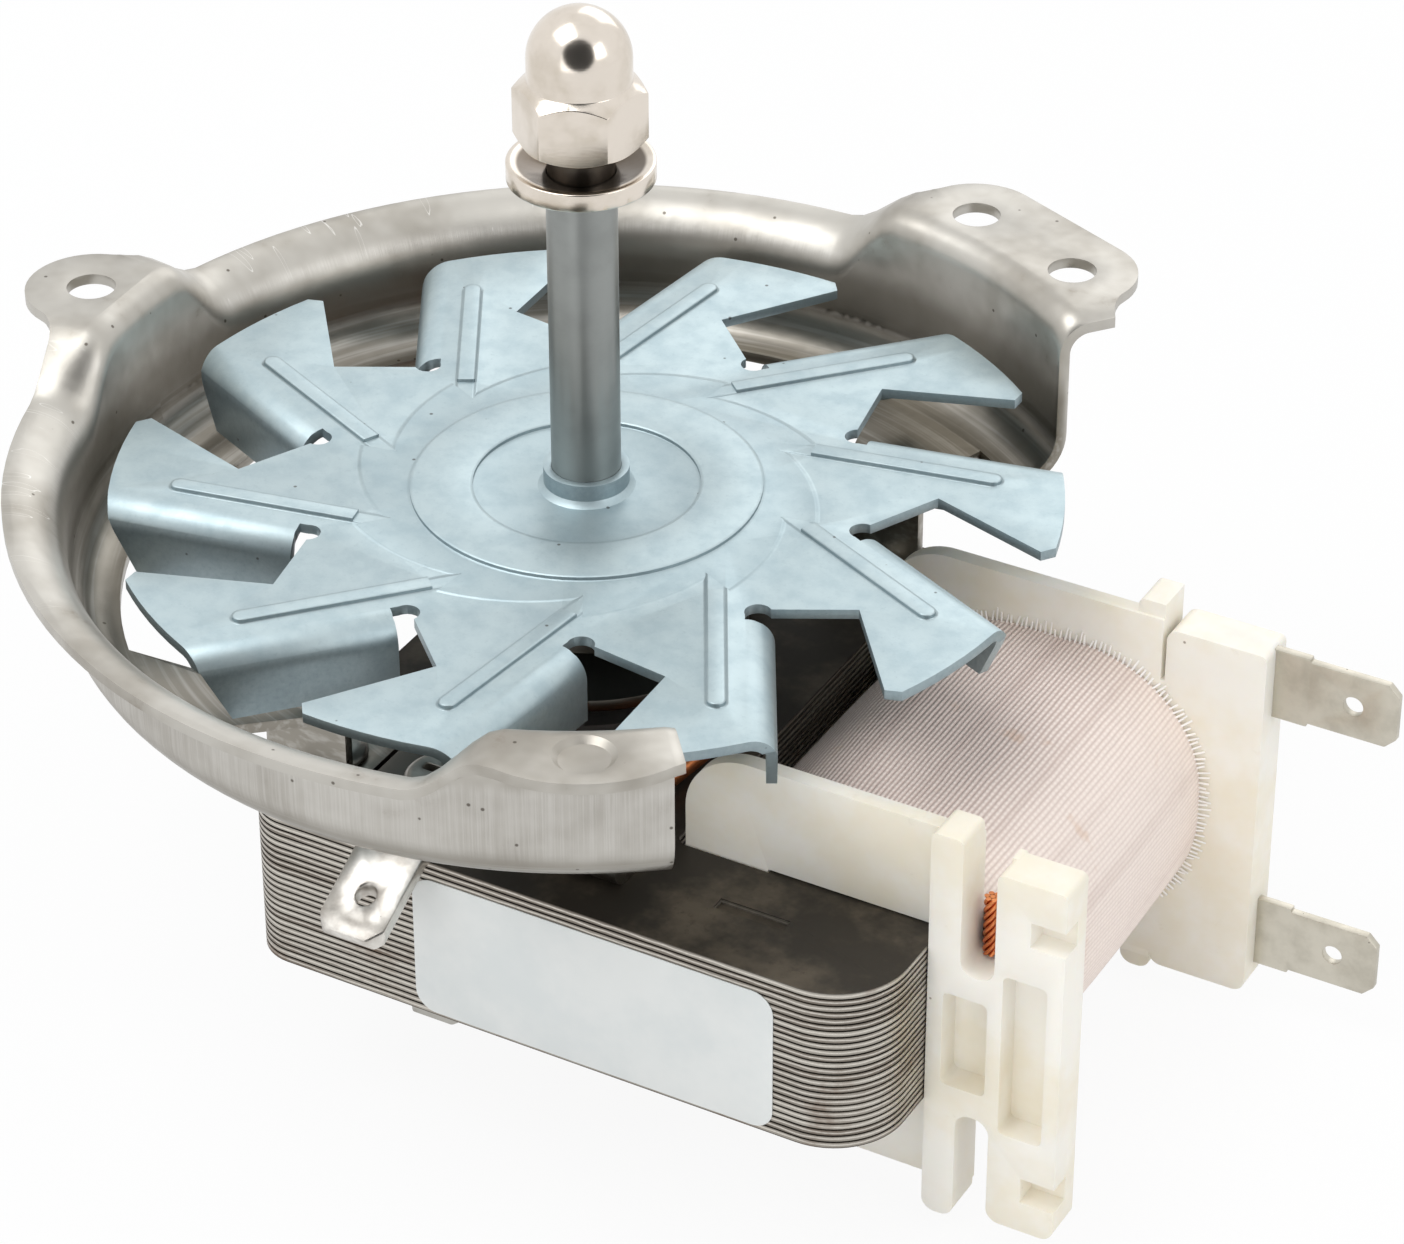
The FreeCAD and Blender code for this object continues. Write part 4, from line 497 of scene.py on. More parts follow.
@dataclass(frozen=True)
class ZincFan(Finish):
    """Zinc-plated sheet with a blue tint, its pressed ribs and rings drawn by bump, with painted
    shade along the pressed steps and on the steep vanes.
    """

    colour: Colour = paint(189, 205, 209)
    shade: Colour = paint(174, 192, 198)
    fleck: Colour = paint(158, 177, 184)
    painted_step_shade: Colour = paint(140, 160, 168)
    shadow: Colour = paint(118, 132, 138)
    dirt: Colour = (0.08, 0.08, 0.08)
    blades: int = 10
    first_turn: float = 29.4
    rib_line: float = 0.0110
    rib_end: float = 0.0331
    rib_half: float = 0.0008

    def make(self) -> bpy.types.Material:
        """Builds the material.

        Returns:
            The material.
        """
        bench = Bench(self.name)
        x, y = bench.axes()[:2]
        radius = (x * x + y * y).math("SQRT")
        level = self._press(bench, x, y, radius)
        edge = (level * (1.0 - level) * 4.0).step_up(0.25, 1.0)
        patches = bench.noise(scale=330.0, detail=5.0, rough=0.65)
        grain = bench.noise(scale=2100.0, detail=3.0, rough=0.7)
        colour = bench.mix(patches.step_up(0.35, 0.72), self.colour, self.shade)
        colour = bench.mix(grain.step_up(0.55, 0.8) * 0.4, colour, self.fleck)
        # Painted shade: a darker line where the pressed pattern steps up.
        colour = bench.mix(edge * 0.18, colour, self.painted_step_shade)
        upright = bench.upright().step_down(0.15, 0.65)
        colour = bench.mix(upright * (0.35 + grain * 0.4), colour, self.shadow)
        spots = bench.specks(scale=240.0, size=0.05)
        colour = bench.mix(spots * 0.8, colour, self.dirt)
        normal = bench.bump(level, 0.00030)
        normal = bench.bump(grain, 0.000012, normal)
        return bench.surface(
            {
                "Base Color": colour,
                "Metallic": 0.82,
                "Roughness": 0.40 + patches * 0.12,
                "Normal": normal,
            }
        )

    def _press(self, bench: Bench, x: Wire, y: Wire, radius: Wire) -> Wire:
        """The height of the pressed pattern, folded into one blade's sector.

        Args:
            bench: The material's bench.
            x: The point's x.
            y: The point's y.
            radius: Its distance from the axis.

        Returns:
            0 on the sheet and 1 on what is pressed up.
        """
        pitch = 2 * math.pi / self.blades
        turn = y.math("ARCTAN2", x) - math.radians(self.first_turn + 90.0)
        local = (turn / pitch + 100.0).math("FRACT") * pitch
        across = local.math("SINE") * radius
        along = local.math("COSINE") * radius
        rib_side = (across - self.rib_line).math("ABSOLUTE")
        past = (along - self.rib_end).math("MAXIMUM", 0.0)
        away = (rib_side * rib_side + past * past).math("SQRT")
        rib = away.step_down(self.rib_half * 0.75, self.rib_half * 1.3)
        petal = (0.0207 - local * 0.0045) - radius
        disc = petal.step_up(-0.0002, 0.0003)
        ring = radius.step_up(0.0096, 0.0101) * radius.step_down(0.0149, 0.0155)
        raised = rib.math("MAXIMUM", disc * 0.5)
        return raised + ring * 0.5


@dataclass(frozen=True)
class Laminations(Finish):
    """Stacked sheared sheets: bright edges with lines along them, a painted highlight on each
    sheet's upper edge, and a dark oxide top.
    """

    edge: Colour = paint(176, 171, 162)
    dark: Colour = paint(128, 120, 111)
    bright: Colour = paint(232, 227, 218)
    rust: Colour = paint(98, 68, 46)
    seam: Colour = paint(44, 38, 33)
    top: Colour = paint(50, 45, 38)
    worn: Colour = paint(94, 85, 72)
    mark: Colour = paint(52, 44, 36)
    first: float = -0.0254
    sheet: float = 0.00064

    def make(self) -> bpy.types.Material:
        """Builds the material.

        Returns:
            The material.
        """
        bench = Bench(self.name)
        x, y, z = bench.axes()
        flat = bench.upright().step_up(0.6, 0.8)
        sheets = (self.first - z) / self.sheet
        layer = sheets.math("FLOOR")
        own = bench.noise(
            scale=1.0, detail=0.0, rough=0.5, at=bench.point(layer * 3.7, x * 40.0, y * 40.0)
        )
        shear = bench.noise(
            scale=1.0, detail=3.0, rough=0.7, at=bench.point(x * 2400.0, y * 2400.0, z * 500.0)
        )
        inner = sheets.math("FRACT")
        wander = bench.noise(
            scale=1.0, detail=2.0, rough=0.6, at=bench.point(layer * 5.3, x * 260.0, y * 260.0)
        )
        # Painted highlight: a pale band along the upper edge of each sheet.
        glint = (inner - wander * 0.5).band(middle=0.22, half=0.07, soft=0.10)
        edges = bench.mix(own.step_up(0.3, 0.7), self.edge, self.dark)
        edges = bench.mix(glint * (0.3 + shear * 0.7), edges, self.bright)
        seam = 1.0 - inner.band(middle=0.5, half=0.30, soft=0.10)
        edges = bench.mix(seam * 0.75, edges, self.seam)
        rust = bench.noise(scale=160.0, detail=4.0, rough=0.7) + (-0.034 - z) * 9.0
        edges = bench.mix(rust.step_up(0.52, 0.75) * 0.5, edges, self.rust)
        cloud = bench.noise(scale=110.0, detail=5.0, rough=0.65)
        tops = bench.mix(cloud.step_up(0.42, 0.70), self.top, self.worn)
        marks = bench.noise(scale=900.0, detail=3.0, rough=0.7).step_up(0.55, 0.75) * 0.5
        tops = bench.mix(marks, tops, self.mark)
        colour = bench.mix(flat, edges, tops)
        normal = bench.bump(shear * (1.0 - flat), 0.00004)
        return bench.surface(
            {
                "Base Color": colour,
                "Metallic": 0.92 - flat * 0.55,
                "Roughness": 0.40 + flat * 0.10 + shear * 0.08,
                "Normal": normal,
            }
        )


@dataclass(frozen=True)
class MouldedCream(Finish):
    """Moulded cream plastic with a faint flow pattern and a little grime."""

    colour: Colour = paint(246, 242, 233)
    yellow: Colour = paint(240, 232, 213)
    grime: Colour = paint(190, 172, 140)
    dirt: Colour = (0.16, 0.10, 0.05)

    def make(self) -> bpy.types.Material:
        """Builds the material.

        Returns:
            The material.
        """
        bench = Bench(self.name)
        cloud = bench.noise(scale=90.0, detail=4.0, rough=0.6)
        grime = bench.noise(scale=420.0, detail=5.0, rough=0.7)
        colour = bench.mix(cloud.step_up(0.38, 0.68), self.colour, self.yellow)
        colour = bench.mix(grime.step_up(0.62, 0.82) * 0.22, colour, self.grime)
        spots = bench.specks(scale=190.0, size=0.035)
        colour = bench.mix(spots * 0.7, colour, self.dirt)
        fine = bench.noise(scale=1500.0, detail=3.0, rough=0.6)
        normal = bench.bump(fine, 0.00001)
        normal = bench.bump(cloud, 0.00012, normal)
        return bench.surface(
            {
                "Base Color": colour,
                "Roughness": 0.40 + grime * 0.12,
                "Specular IOR Level": 0.45,
                "Subsurface Weight": 0.12,
                "Subsurface Radius": (0.0016, 0.0011, 0.0006),
                "Subsurface Scale": 1.0,
                "Normal": normal,
            }
        )


@dataclass(frozen=True)
class WovenTape(Finish):
    """Woven glass tape: fine ribs along the coil, crossed by thinner threads, with soft stains."""

    colour: Colour = paint(255, 242, 233)
    gap: Colour = paint(196, 172, 163)
    stain: Colour = paint(214, 178, 150)
    dull: Colour = paint(214, 198, 191)
    centre_x: float = 0.0363
    centre_z: float = -0.0334
    girth: float = 0.0138
    rib: float = 0.00044
    cross: float = 0.00056

    def make(self) -> bpy.types.Material:
        """Builds the material.

        Returns:
            The material.
        """
        bench = Bench(self.name)
        x, y, z = bench.axes()
        up = z - self.centre_z
        out = x - self.centre_x
        round_way = up.math("ARCTAN2", out) * self.girth
        wander = (bench.noise(scale=160.0, detail=2.0) - 0.5) * 0.0003
        ribs = self._threads(round_way + wander, self.rib)
        rows = self._threads(y + wander, self.cross)
        ribs = ribs.math("POWER", 0.65)
        weave = ribs * (0.70 + rows * 0.30)
        turned = x.step_up(0.040, 0.051) * 0.6
        weave = weave + (1.0 - weave) * turned
        laps = bench.noise(
            scale=1.0, detail=2.0, rough=0.5, at=bench.point(round_way * 420.0, y * 12.0, 0.0)
        )
        cloud = bench.noise(scale=95.0, detail=4.0, rough=0.6)
        spots = bench.noise(scale=210.0, detail=3.0, rough=0.6)
        fine = bench.noise(scale=2300.0, detail=2.0, rough=0.6)
        colour = bench.mix(weave * 0.85 + fine * 0.15, self.gap, self.colour)
        colour = bench.mix(laps.step_up(0.50, 0.68) * 0.25, colour, self.gap)
        colour = bench.mix(cloud.step_up(0.50, 0.75) * 0.25, colour, self.dull)
        colour = bench.mix(spots.step_up(0.64, 0.76) * 0.40, colour, self.stain)
        normal = bench.bump(weave, 0.00012)
        normal = bench.bump(laps, 0.00018, normal)
        normal = bench.bump(cloud, 0.0004, normal)
        return bench.surface(
            {
                "Base Color": colour,
                "Roughness": 0.62,
                "Specular IOR Level": 0.35,
                "Sheen Weight": 0.10,
                "Normal": normal,
            }
        )

    def _threads(self, way: Wire, pitch: float) -> Wire:
        """Parallel threads across a way: 1 on a thread's crown and 0 between threads."""
        phase = way * (2 * math.pi / pitch)
        return phase.math("SINE") * 0.5 + 0.5


@dataclass(frozen=True)
class PlainMatter(Finish):
    """Label, felt or plastic: one colour with soft patches and a fine grain."""

    colour: Colour
    shade: Colour
    rough: float = 0.5
    grain: float = 0.00001
    grain_scale: float = 1600.0

    def make(self) -> bpy.types.Material:
        """Builds the material.

        Returns:
            The material.
        """
        bench = Bench(self.name)
        patches = bench.noise(scale=120.0, detail=4.0, rough=0.6)
        grain = bench.noise(scale=self.grain_scale, detail=3.0, rough=0.6)
        colour = bench.mix(patches.step_up(0.35, 0.7), self.colour, self.shade)
        return bench.surface(
            {
                "Base Color": colour,
                "Roughness": grain * 0.12 + (self.rough - 0.06),
                "Normal": bench.bump(grain, self.grain),
            }
        )


class Finishes(Enum):
    """Every finish of the motor, each with the record's slot that it belongs to."""

    FRAME = (DrawnSteel("drawn_steel"), "frame_steel")
    FAN = (ZincFan("zinc_fan"), "fan_steel")
    SHAFT = (
        TurnedMetal("ground_steel", paint(150, 153, 151), paint(142, 145, 143), rough=0.36),
        "shaft_steel",
    )
    BRIGHT = (
        TurnedMetal("nickel", paint(226, 217, 206), paint(208, 198, 184), rough=0.17),
        "bright_steel",
    )
    STACK = (Laminations("sheared_sheets"), "laminations")
    CAST = (
        PlainMetal("cast_cage", (0.66, 0.66, 0.66), (0.52, 0.52, 0.52), rough=0.45),
        "cast_aluminium",
    )
    CREAM = (MouldedCream("moulded_cream"), "bobbin_plastic")
    COPPER = (
        PlainMetal("red_copper", (0.80, 0.29, 0.11), (0.58, 0.18, 0.07), rough=0.34), "copper"
    )
    TAPE = (WovenTape("glass_tape"), "woven_tape")
    TAB = (
        PlainMetal(
            "tinned_strip",
            paint(208, 203, 190),
            paint(188, 183, 170),
            rough=0.42,
            grain=0.00001,
            speck=0.05,
        ),
        "tab_steel",
    )
    LABEL = (
        PlainMatter(
            "bare_foil", paint(228, 230, 228), paint(219, 223, 222), rough=0.38, grain=0.000004
        ),
        "label_foil",
    )
    BRACKET = (
        PlainMetal(
            "zinc_pressing",
            paint(226, 223, 217),
            paint(176, 170, 162),
            rough=0.34,
            grain=0.000008,
            speck=0.04,
            # inner: the painted shade's colour behind the earth tab, under the fan.
            inner=paint(104, 100, 94),
        ),
        "bracket_steel",
    )
    BRONZE = (
        PlainMetal(
            "porous_bronze",
            (0.48, 0.35, 0.19),
            (0.36, 0.25, 0.13),
            rough=0.5,
            grain=0.00001,
            speck=0.08,
        ),
        "sintered_bronze",
    )
    FELT = (
        PlainMatter(
            "brown_felt",
            (0.33, 0.27, 0.18),
            (0.22, 0.18, 0.11),
            rough=0.85,
            grain=0.00008,
            grain_scale=900.0,
        ),
        "oiled_felt",
    )
    FIXING = (
        PlainMetal("zinc_fixing", paint(178, 176, 170), paint(146, 143, 136), rough=0.30),
        "fixing_steel",
    )
    THREAD = (
        PlainMatter("tape_thread", paint(254, 252, 249), paint(246, 240, 234), rough=0.7),
        "woven_tape",
    )
    THRUST = (
        PlainMatter("bearing_plastic", (0.62, 0.58, 0.48), (0.54, 0.50, 0.41), rough=0.45),
        "thrust_plastic",
    )

    @property
    def slot(self) -> str:
        """The record's material slot."""
        return self.value[1]

    def material(self) -> bpy.types.Material:
        """The finish's material, made at its first use."""
        found = bpy.data.materials.get(self.value[0].name)
        return found or self.value[0].make()


def lone(piece: bpy.types.Object) -> None:
    """Selects one piece alone and makes it active.

    Args:
        piece: The piece.
    """
    bpy.ops.object.select_all(action="DESELECT")
    piece.select_set(True)
    bpy.context.view_layer.objects.active = piece


def modify(piece: bpy.types.Object, kind: str, **settings: object) -> None:
    """Adds a modifier and applies it.

    Args:
        piece: The mesh piece.
        kind: The modifier's type.
        settings: The modifier's own settings.
    """
    lone(piece)
    added = piece.modifiers.new(kind.lower(), kind)
    for key, value in settings.items():
        setattr(added, key, value)
    bpy.ops.object.modifier_apply(modifier=added.name)


def settle(piece: bpy.types.Object, name: str) -> bpy.types.Object:
    """Names a piece and puts its place into its mesh.

    Args:
        piece: The piece.
        name: Its name and its mesh's.

    Returns:
        The same piece.
    """
    lone(piece)
    bpy.ops.object.transform_apply(location=True, rotation=True, scale=True)
    piece.name = name
    piece.data.name = name
    return piece


def dress(piece: bpy.types.Object, finish: Finishes, body: Body) -> bpy.types.Object:
    """Gives a new piece its material and its body.

    Args:
        piece: The piece.
        finish: Its finish.
        body: The body that it rides on.

    Returns:
        The same piece.
    """
    piece.data.materials.clear()
    piece.data.materials.append(finish.material())
    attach(piece, body.value)
    LOG.info("piece %s on %s", piece.name, body.value)
    return piece


@dataclass
class Assembly:
    """A group of pieces that ride on one body."""

    nodes: dict[str, bpy.types.Object]
    body: Body = Body.STATOR

    def coat(self, node: str, finish: Finishes) -> None:
        """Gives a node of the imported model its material.

        Args:
            node: The node's name.
            finish: Its finish.
        """
        target = self.nodes[node]
        if not target.material_slots:
            target.data.materials.append(finish.material())
        for slot in target.material_slots:
            slot.material = finish.material()
        LOG.info("coated %s with %s", node, finish.name)

    def softened(
        self,
        node: str,
        name: str,
        finish: Finishes,
        edge: float = 0.00012,
        segments: int = 2,
        corner: float = 32.0,
        smooth: float = 35.0,
    ) -> bpy.types.Object:
        """Stands a copy with rounded edges in a node's place.

        Args:
            node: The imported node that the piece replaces.
            name: The new piece's name.
            finish: Its finish.
            edge: The rounding's width in metres.
            segments: The rounding's steps.
            corner: Edges sharper than this many degrees are rounded.
            smooth: Edges flatter than this many degrees shade smoothly.

        Returns:
            The new piece.
        """
        source = self.nodes[node]
        piece = bpy.data.objects.new(name, source.data.copy())
        bpy.context.scene.collection.objects.link(piece)
        lone(piece)
        bpy.ops.object.mode_set(mode="EDIT")
        bpy.ops.mesh.select_all(action="SELECT")
        bpy.ops.mesh.customdata_custom_splitnormals_clear()
        bpy.ops.mesh.remove_doubles(threshold=0.000002)
        bpy.ops.mesh.dissolve_limited(angle_limit=math.radians(0.6))
        bpy.ops.object.mode_set(mode="OBJECT")
        if edge > 0:
            modify(
                piece,
                "BEVEL",
                width=edge,
                segments=segments,
                limit_method="ANGLE",
                angle_limit=math.radians(corner),
                use_clamp_overlap=True,
                miter_outer="MITER_ARC",
            )
        modify(piece, "TRIANGULATE")
        lone(piece)
        bpy.ops.object.shade_smooth_by_angle(angle=math.radians(smooth))
        settle(piece, name)
        dress(piece, finish, self.body)
        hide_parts(node)
        return piece


@dataclass
class MountingCup(Assembly):
    """The drawn frame with its ears, and the rivets that hold it on the stack."""

    edge: float = 0.00025

    def build(self) -> None:
        """Makes the frame and its rivets."""
        self.softened(
            "mounting_frame",
            "drawn_frame",
            Finishes.FRAME,
            edge=self.edge,
            segments=2,
            corner=40.0,
            smooth=50.0,
        )
        for place in ("near_front", "far_front", "near_back", "far_back"):
            self.softened(
                f"{place}_rivet",
                f"{place}_rivet_head",
                Finishes.FIXING,
                edge=0.0003,
                segments=3,
            )


@dataclass
class CoolingFan(Assembly):
    """The pressed fan on the shaft."""

    body: Body = Body.ROTOR
    edge: float = 0.00014

    def build(self) -> None:
        """Makes the fan."""
        self.softened(
            "cooling_fan",
            "pressed_fan",
            Finishes.FAN,
            edge=self.edge,
            segments=2,
            corner=38.0,
            smooth=50.0,
        )


@dataclass
class ShaftLine(Assembly):
    """The shaft with its washer, its cap nut and the rotor that it carries."""

    body: Body = Body.ROTOR

    def build(self) -> None:
        """Makes the shaft, washer and nut, and coats the rotor."""
        self.softened("shaft", "ground_shaft", Finishes.SHAFT, edge=0.0001)
        self.softened(
            "dished_washer", "turned_washer", Finishes.BRIGHT, edge=0.00012, segments=3
        )
        self.softened(
            "cap_nut",
            "domed_nut",
            Finishes.BRIGHT,
            edge=0.00018,
            segments=3,
            corner=28.0,
            smooth=40.0,
        )
        self.coat("rotor_core", Finishes.STACK)
        self.coat("rotor_cage", Finishes.CAST)
        for name in ("upper_spacer", "lower_spacer"):
            self.coat(name, Finishes.BRACKET)
        for name in ("front_thrust_washer", "rear_thrust_washer"):
            self.coat(name, Finishes.THRUST)


@dataclass
class StatorIron(Assembly):
    """The lamination stack with its label, shading rings and coil core."""

    def build(self) -> None:
        """Makes the stack and its pieces."""
        self.softened(
            "stator_stack",
            "sheet_stack",
            Finishes.STACK,
            edge=0.00005,
            segments=1,
            corner=40.0,
            smooth=35.0,
        )
        self.coat("coil_core", Finishes.STACK)
        self.softened("rating_label", "bare_label", Finishes.LABEL, edge=0.00004, segments=2)
        for side in ("near", "far"):
            for size in ("long", "short"):
                node = f"{side}_{size}_shading_ring"
                self.softened(node, f"{side}_{size}_copper_ring", Finishes.COPPER, edge=0.0)


@dataclass
class CoilGroup(Assembly):
    """The moulded bobbin, the coil with its tape, the lead and the terminals."""

    centre: Vector = field(default_factory=lambda: Vector((0.0363, 0.0, -0.0334)))
    half_wide: float = 0.0150
    half_high: float = 0.01335
    corner: float = 0.0120
    reach: float = 0.01727
    threads: int = 197
    thread_radius: float = 0.0001
    thread_length: float = 0.0014
    strand_radius: float = 0.00024
    strand_place: float = 0.00049
    outer_strands: int = 6
    strand_turn: float = 430.0
    strand_steps: int = 36

    def build(self) -> None:
        """Makes all the group's pieces."""
        self.softened(
            "bobbin",
            "moulded_bobbin",
            Finishes.CREAM,
            edge=0.00028,
            segments=3,
            corner=40.0,
            smooth=50.0,
        )
        for place in ("upper", "lower"):
            self.softened(
                f"{place}_terminal", f"{place}_blade", Finishes.TAB, edge=0.00014, segments=2
            )
        self.coat("winding", Finishes.COPPER)
        self.softened(
            "tape_wrap",
            "taped_barrel",
            Finishes.TAPE,
            edge=0.0003,
            segments=2,
            corner=50.0,
            smooth=60.0,
        )
        self.fringe()
        self.lead()

    def rim_spots(self) -> list[tuple[Vector, Vector]]:
        """Finds even places round the coil's section.

        Returns:
            Each place with its outward direction.
        """
        across = self.half_wide - self.corner
        up = self.half_high - self.corner
        quarter = self.corner * math.pi / 2
        total = 4 * (quarter + across + up)
        spots = []
        for k in range(self.threads):
            way = total * k / self.threads
            corners = ((1, 1), (-1, 1), (-1, -1), (1, -1))
            for side, (sign_x, sign_z) in enumerate(corners):
                straight = 2 * (up if side % 2 else across)
                if way < quarter + straight:
                    break
                way -= quarter + straight
            turn = (side + min(way / quarter, 1.0)) * math.pi / 2
            outward = Vector((math.cos(turn), 0.0, math.sin(turn)))
            along = Vector((-math.sin(turn), 0.0, math.cos(turn)))
            middle = self.centre + Vector((sign_x * across, 0.0, sign_z * up))
            past = max(0.0, way - quarter)
            spots.append((middle + outward * self.corner + along * past, outward))
        return spots

    def fringe(self) -> None:
        """The tape's cut edges: short threads that stand out along both flanges."""
        dice = random.Random(7)
        strands: list[bpy.types.Object] = []
        bpy.ops.object.select_all(action="DESELECT")
        bpy.ops.mesh.primitive_cylinder_add(
            vertices=5, radius=self.thread_radius, depth=self.thread_length
        )
        master = bpy.context.object
        for side in (1, -1):
            for spot, outward in self.rim_spots():
                length = dice.uniform(0.65, 1.1)
                lean_x = dice.uniform(-0.2, 0.2)
                lean_y = side * dice.uniform(0.15, 0.5)
                lean = Vector((lean_x, lean_y, dice.uniform(-0.2, 0.2)))
                way = (outward + lean).normalized()
                rim = Vector((0.0, side * (self.reach - 0.0004), 0.0))
                foot = spot + rim - outward * 0.0002
                copy = bpy.data.objects.new("strand", master.data.copy())
                bpy.context.scene.collection.objects.link(copy)
                copy.data.transform(
                    Matrix.Translation(foot + way * 0.0006 * length)
                    @ way.to_track_quat("Z", "X").to_matrix().to_4x4()
                    @ Matrix.Diagonal((1.0, 1.0, length, 1.0))
                )
                strands.append(copy)
        bpy.data.objects.remove(master)
        fringe = settle(self.joined(strands), "tape_fringe")
        for corner in fringe.data.vertices:
            corner.co.y = max(-self.reach, min(self.reach, corner.co.y))
        dress(fringe, Finishes.THREAD, self.body)

    def joined(self, parts: list[bpy.types.Object]) -> bpy.types.Object:
        """Joins separate meshes into one piece.

        Args:
            parts: The meshes.

        Returns:
            The piece.
        """
        bpy.ops.object.select_all(action="DESELECT")
        for part in parts:
            part.select_set(True)
        bpy.context.view_layer.objects.active = parts[0]
        bpy.ops.object.join()
        return bpy.context.object

    def lead(self) -> None:
        """The twisted copper lead in the near wire notch: one straight strand in six others."""
        low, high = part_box("near_lead")
        middle = (low + high) / 2
        spots = [(0.0, 0.0)]
        for k in range(self.outer_strands):
            turn = 2 * math.pi * k / self.outer_strands
            place = self.strand_place
            spots.append((place * math.cos(turn), place * math.sin(turn)))
        strands: list[bpy.types.Object] = []
        for across, aside in spots:
            bpy.ops.object.select_all(action="DESELECT")
            bpy.ops.mesh.primitive_circle_add(
                vertices=10,
                radius=self.strand_radius,
                fill_type="NGON",
                location=(across, aside, 0.0),
            )
            made = bpy.context.object
            lone(made)
            bpy.ops.object.transform_apply(location=True)
            modify(
                made,
                "SCREW",
                axis="Z",
                angle=math.radians(self.strand_turn),
                screw_offset=high.z - low.z,
                steps=self.strand_steps,
                render_steps=self.strand_steps,
                use_normal_calculate=True,
                use_merge_vertices=True,
            )
            bpy.ops.object.mode_set(mode="EDIT")
            bpy.ops.mesh.select_all(action="SELECT")
            bpy.ops.mesh.fill_holes(sides=0)
            bpy.ops.mesh.normals_make_consistent(inside=False)
            bpy.ops.object.mode_set(mode="OBJECT")
            strands.append(made)
        lead = self.joined(strands)
        lead.location = (middle.x, middle.y, low.z)
        settle(lead, "twisted_lead")
        bpy.ops.object.shade_smooth_by_angle(angle=math.radians(40.0))
        dress(lead, Finishes.COPPER, self.body)
        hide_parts("near_lead")


@dataclass
class Bearings(Assembly):
    """Both bearing brackets with their screws, nuts and bushes."""

    def build(self) -> None:
        """Makes the brackets and their pieces."""
        for end in ("front", "rear"):
            bridge = f"{end}_pressed_bridge"
            self.softened(
                f"{end}_bearing_bracket",
                bridge,
                Finishes.BRACKET,
                edge=0.0002,
                segments=2,
                corner=30.0,
            )
            self.softened(f"{end}_bush", f"{end}_bronze_bush", Finishes.BRONZE, edge=0.0001)
            self.coat(f"{end}_felt", Finishes.FELT)
            self.softened(
                f"{end}_retainer", f"{end}_cover_disc", Finishes.BRACKET, edge=0.00008
            )
        for side in ("near", "far"):
            screw = f"{side}_bracket_screw"
            self.softened(screw, f"{side}_pan_screw", Finishes.FIXING, edge=0.00015)
            self.softened(
                f"{side}_bracket_nut", f"{side}_hex_nut", Finishes.FIXING, edge=0.0002
            )


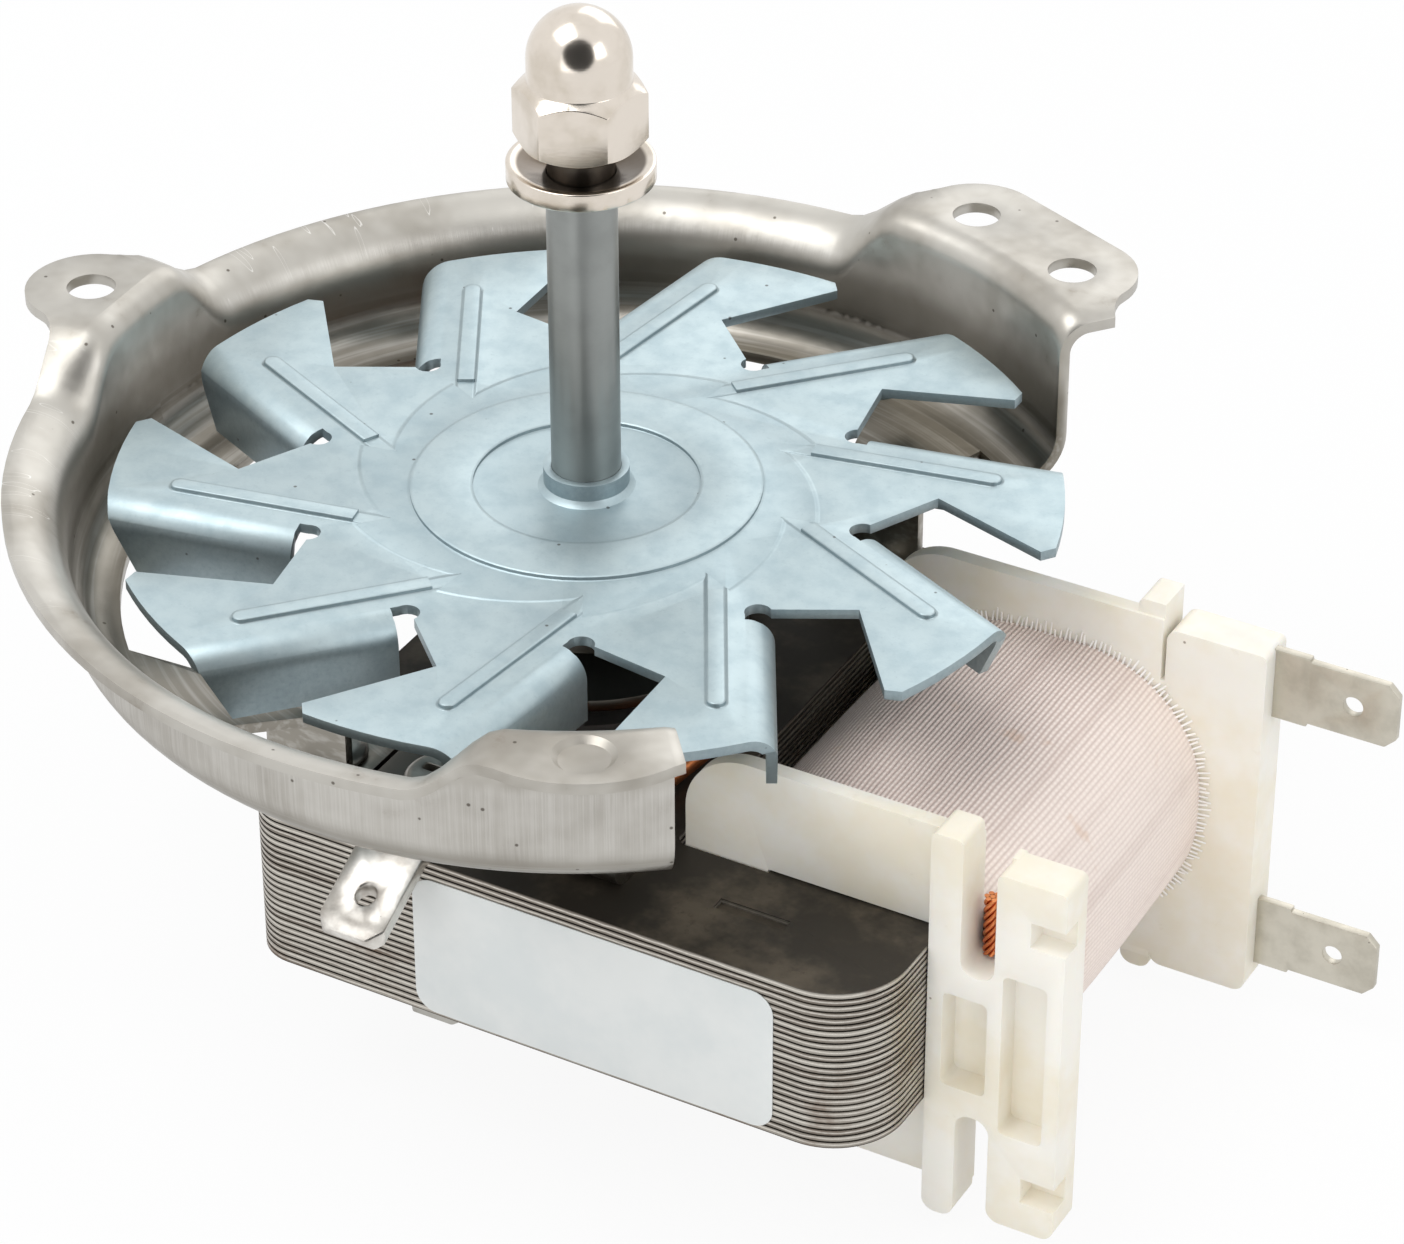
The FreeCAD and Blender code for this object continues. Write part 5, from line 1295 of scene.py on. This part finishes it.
@dataclass
class Studio:
    """The pale floor, the soft light and the camera."""

    floor_height: float = -0.0546
    floor_side: float = 6.0
    floor_glow: float = 0.92
    paper: Colour = (0.86, 0.86, 0.86)
    surround: Colour = (0.97, 0.985, 1.0)
    surround_strength: float = 0.74
    card_radius: float = 0.42
    card_behind: float = 0.2
    eye: Vector = field(default_factory=lambda: Vector((0.18712, -0.31199, 0.22155)))
    forward: Vector = field(default_factory=lambda: Vector((-0.40855, 0.72506, -0.5544)))
    lit_spot: Vector = field(default_factory=lambda: Vector((0.0, 0.0, -0.015)))
    roll: float = -0.152
    lens: float = 128.15

    def build(self) -> None:
        """Sets up floor, world, lamps and camera."""
        self.floor()
        self.world()
        self.lamp("key_light", Vector((-0.25, -0.25, 0.75)), size=0.50, power=2.6)
        self.lamp("side_light", Vector((0.75, -0.10, 0.45)), size=0.40, power=1.0)
        self.lamp("back_light", Vector((-0.10, 0.80, 0.45)), size=0.60, power=1.0)
        self.lamp("front_light", Vector((0.15, -0.85, 0.20)), size=0.60, power=1.0)
        self.camera()
        self.card()

    def floor(self) -> None:
        """A pale floor that shows near white and keeps a soft shadow."""
        bpy.ops.object.select_all(action="DESELECT")
        place = (0.0, 0.0, self.floor_height)
        bpy.ops.mesh.primitive_plane_add(size=self.floor_side, location=place)
        floor = settle(bpy.context.object, "studio_floor")
        bench = Bench("pale_floor")
        paper = bench.shader("ShaderNodeBsdfDiffuse", {"Color": self.paper})
        glow = bench.shader("ShaderNodeEmission", {"Color": (1.0, 1.0, 1.0), "Strength": 1.0})
        seen = bench.looked_at() * self.floor_glow
        both = bench.shader("ShaderNodeMixShader", {0: seen, 1: paper, 2: glow})
        clear = bench.shader("ShaderNodeBsdfTransparent")
        below = Wire(bench, bench.node("ShaderNodeNewGeometry").outputs["Backfacing"])
        open_below = bench.shader("ShaderNodeMixShader", {0: below, 1: both, 2: clear})
        bench.node("ShaderNodeOutputMaterial", None, {0: open_below})
        floor.data.materials.append(bench.owner)

    def world(self) -> None:
        """A soft pale surround, white where the camera or a shiny surface sees it."""
        bench = Bench("pale_surround", world=True)
        bpy.context.scene.world = bench.owner
        tint = {"Color": self.surround, "Strength": self.surround_strength}
        soft = bench.shader("ShaderNodeBackground", tint)
        white = bench.shader(
            "ShaderNodeBackground", {"Color": (1.0, 1.0, 1.0), "Strength": 1.0}
        )
        both = bench.shader("ShaderNodeMixShader", {0: bench.looked_at(), 1: soft, 2: white})
        bench.node("ShaderNodeOutputWorld", None, {0: both})

    def lamp(self, name: str, place: Vector, size: float, power: float) -> None:
        """Adds a square soft lamp that looks at the motor.

        Args:
            name: The lamp's name.
            place: Where it hangs.
            size: Its side in metres.
            power: Its power in watts.
        """
        data = bpy.data.lights.new(name, "AREA")
        data.shape = "SQUARE"
        data.size = size
        data.energy = power
        lamp = bpy.data.objects.new(name, data)
        lamp.location = place
        sight = self.lit_spot - place
        lamp.rotation_euler = sight.to_track_quat("-Z", "Y").to_euler()
        bpy.context.scene.collection.objects.link(lamp)

    def card(self) -> None:
        """A dark card behind the camera, which the bright metal reflects."""
        bpy.ops.object.select_all(action="DESELECT")
        bpy.ops.mesh.primitive_circle_add(
            vertices=48,
            radius=self.card_radius,
            fill_type="NGON",
            location=self.eye - self.forward * self.card_behind,
        )
        card = bpy.context.object
        card.rotation_euler = self.forward.to_track_quat("-Z", "Y").to_euler()
        settle(card, "dark_card")
        bench = Bench("dark_paper")
        paper = bench.surface({"Base Color": (0.02, 0.02, 0.02), "Roughness": 0.8})
        card.data.materials.append(paper)
        card.visible_diffuse = False
        card.visible_shadow = False
        card.visible_camera = False

    def camera(self) -> None:
        """Places the camera as the photograph was taken."""
        data = bpy.data.cameras.new("camera")
        data.sensor_fit = "HORIZONTAL"
        data.sensor_width = 36.0
        data.lens = self.lens
        data.clip_start = 0.01
        camera = bpy.data.objects.new("camera", data)
        turn = self.forward.to_track_quat("-Z", "Y").to_matrix()
        turn = turn @ Matrix.Rotation(math.radians(self.roll), 3, "Z")
        camera.matrix_world = Matrix.Translation(self.eye) @ turn.to_4x4()
        bpy.context.scene.collection.objects.link(camera)
        bpy.context.scene.camera = camera


def main() -> None:
    """Builds every group in order."""
    logging.basicConfig(level=logging.INFO, format="%(message)s")
    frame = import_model()
    bpy.context.scene.view_settings.view_transform = "Standard"
    nodes = frame["nodes"]
    groups: list[Callable[[], None]] = [
        MountingCup(nodes).build,
        StatorIron(nodes).build,
        CoilGroup(nodes).build,
        Bearings(nodes).build,
        CoolingFan(nodes).build,
        ShaftLine(nodes).build,
        Studio().build,
    ]
    for build in groups:
        build()


if __name__ == "__main__":
    main()
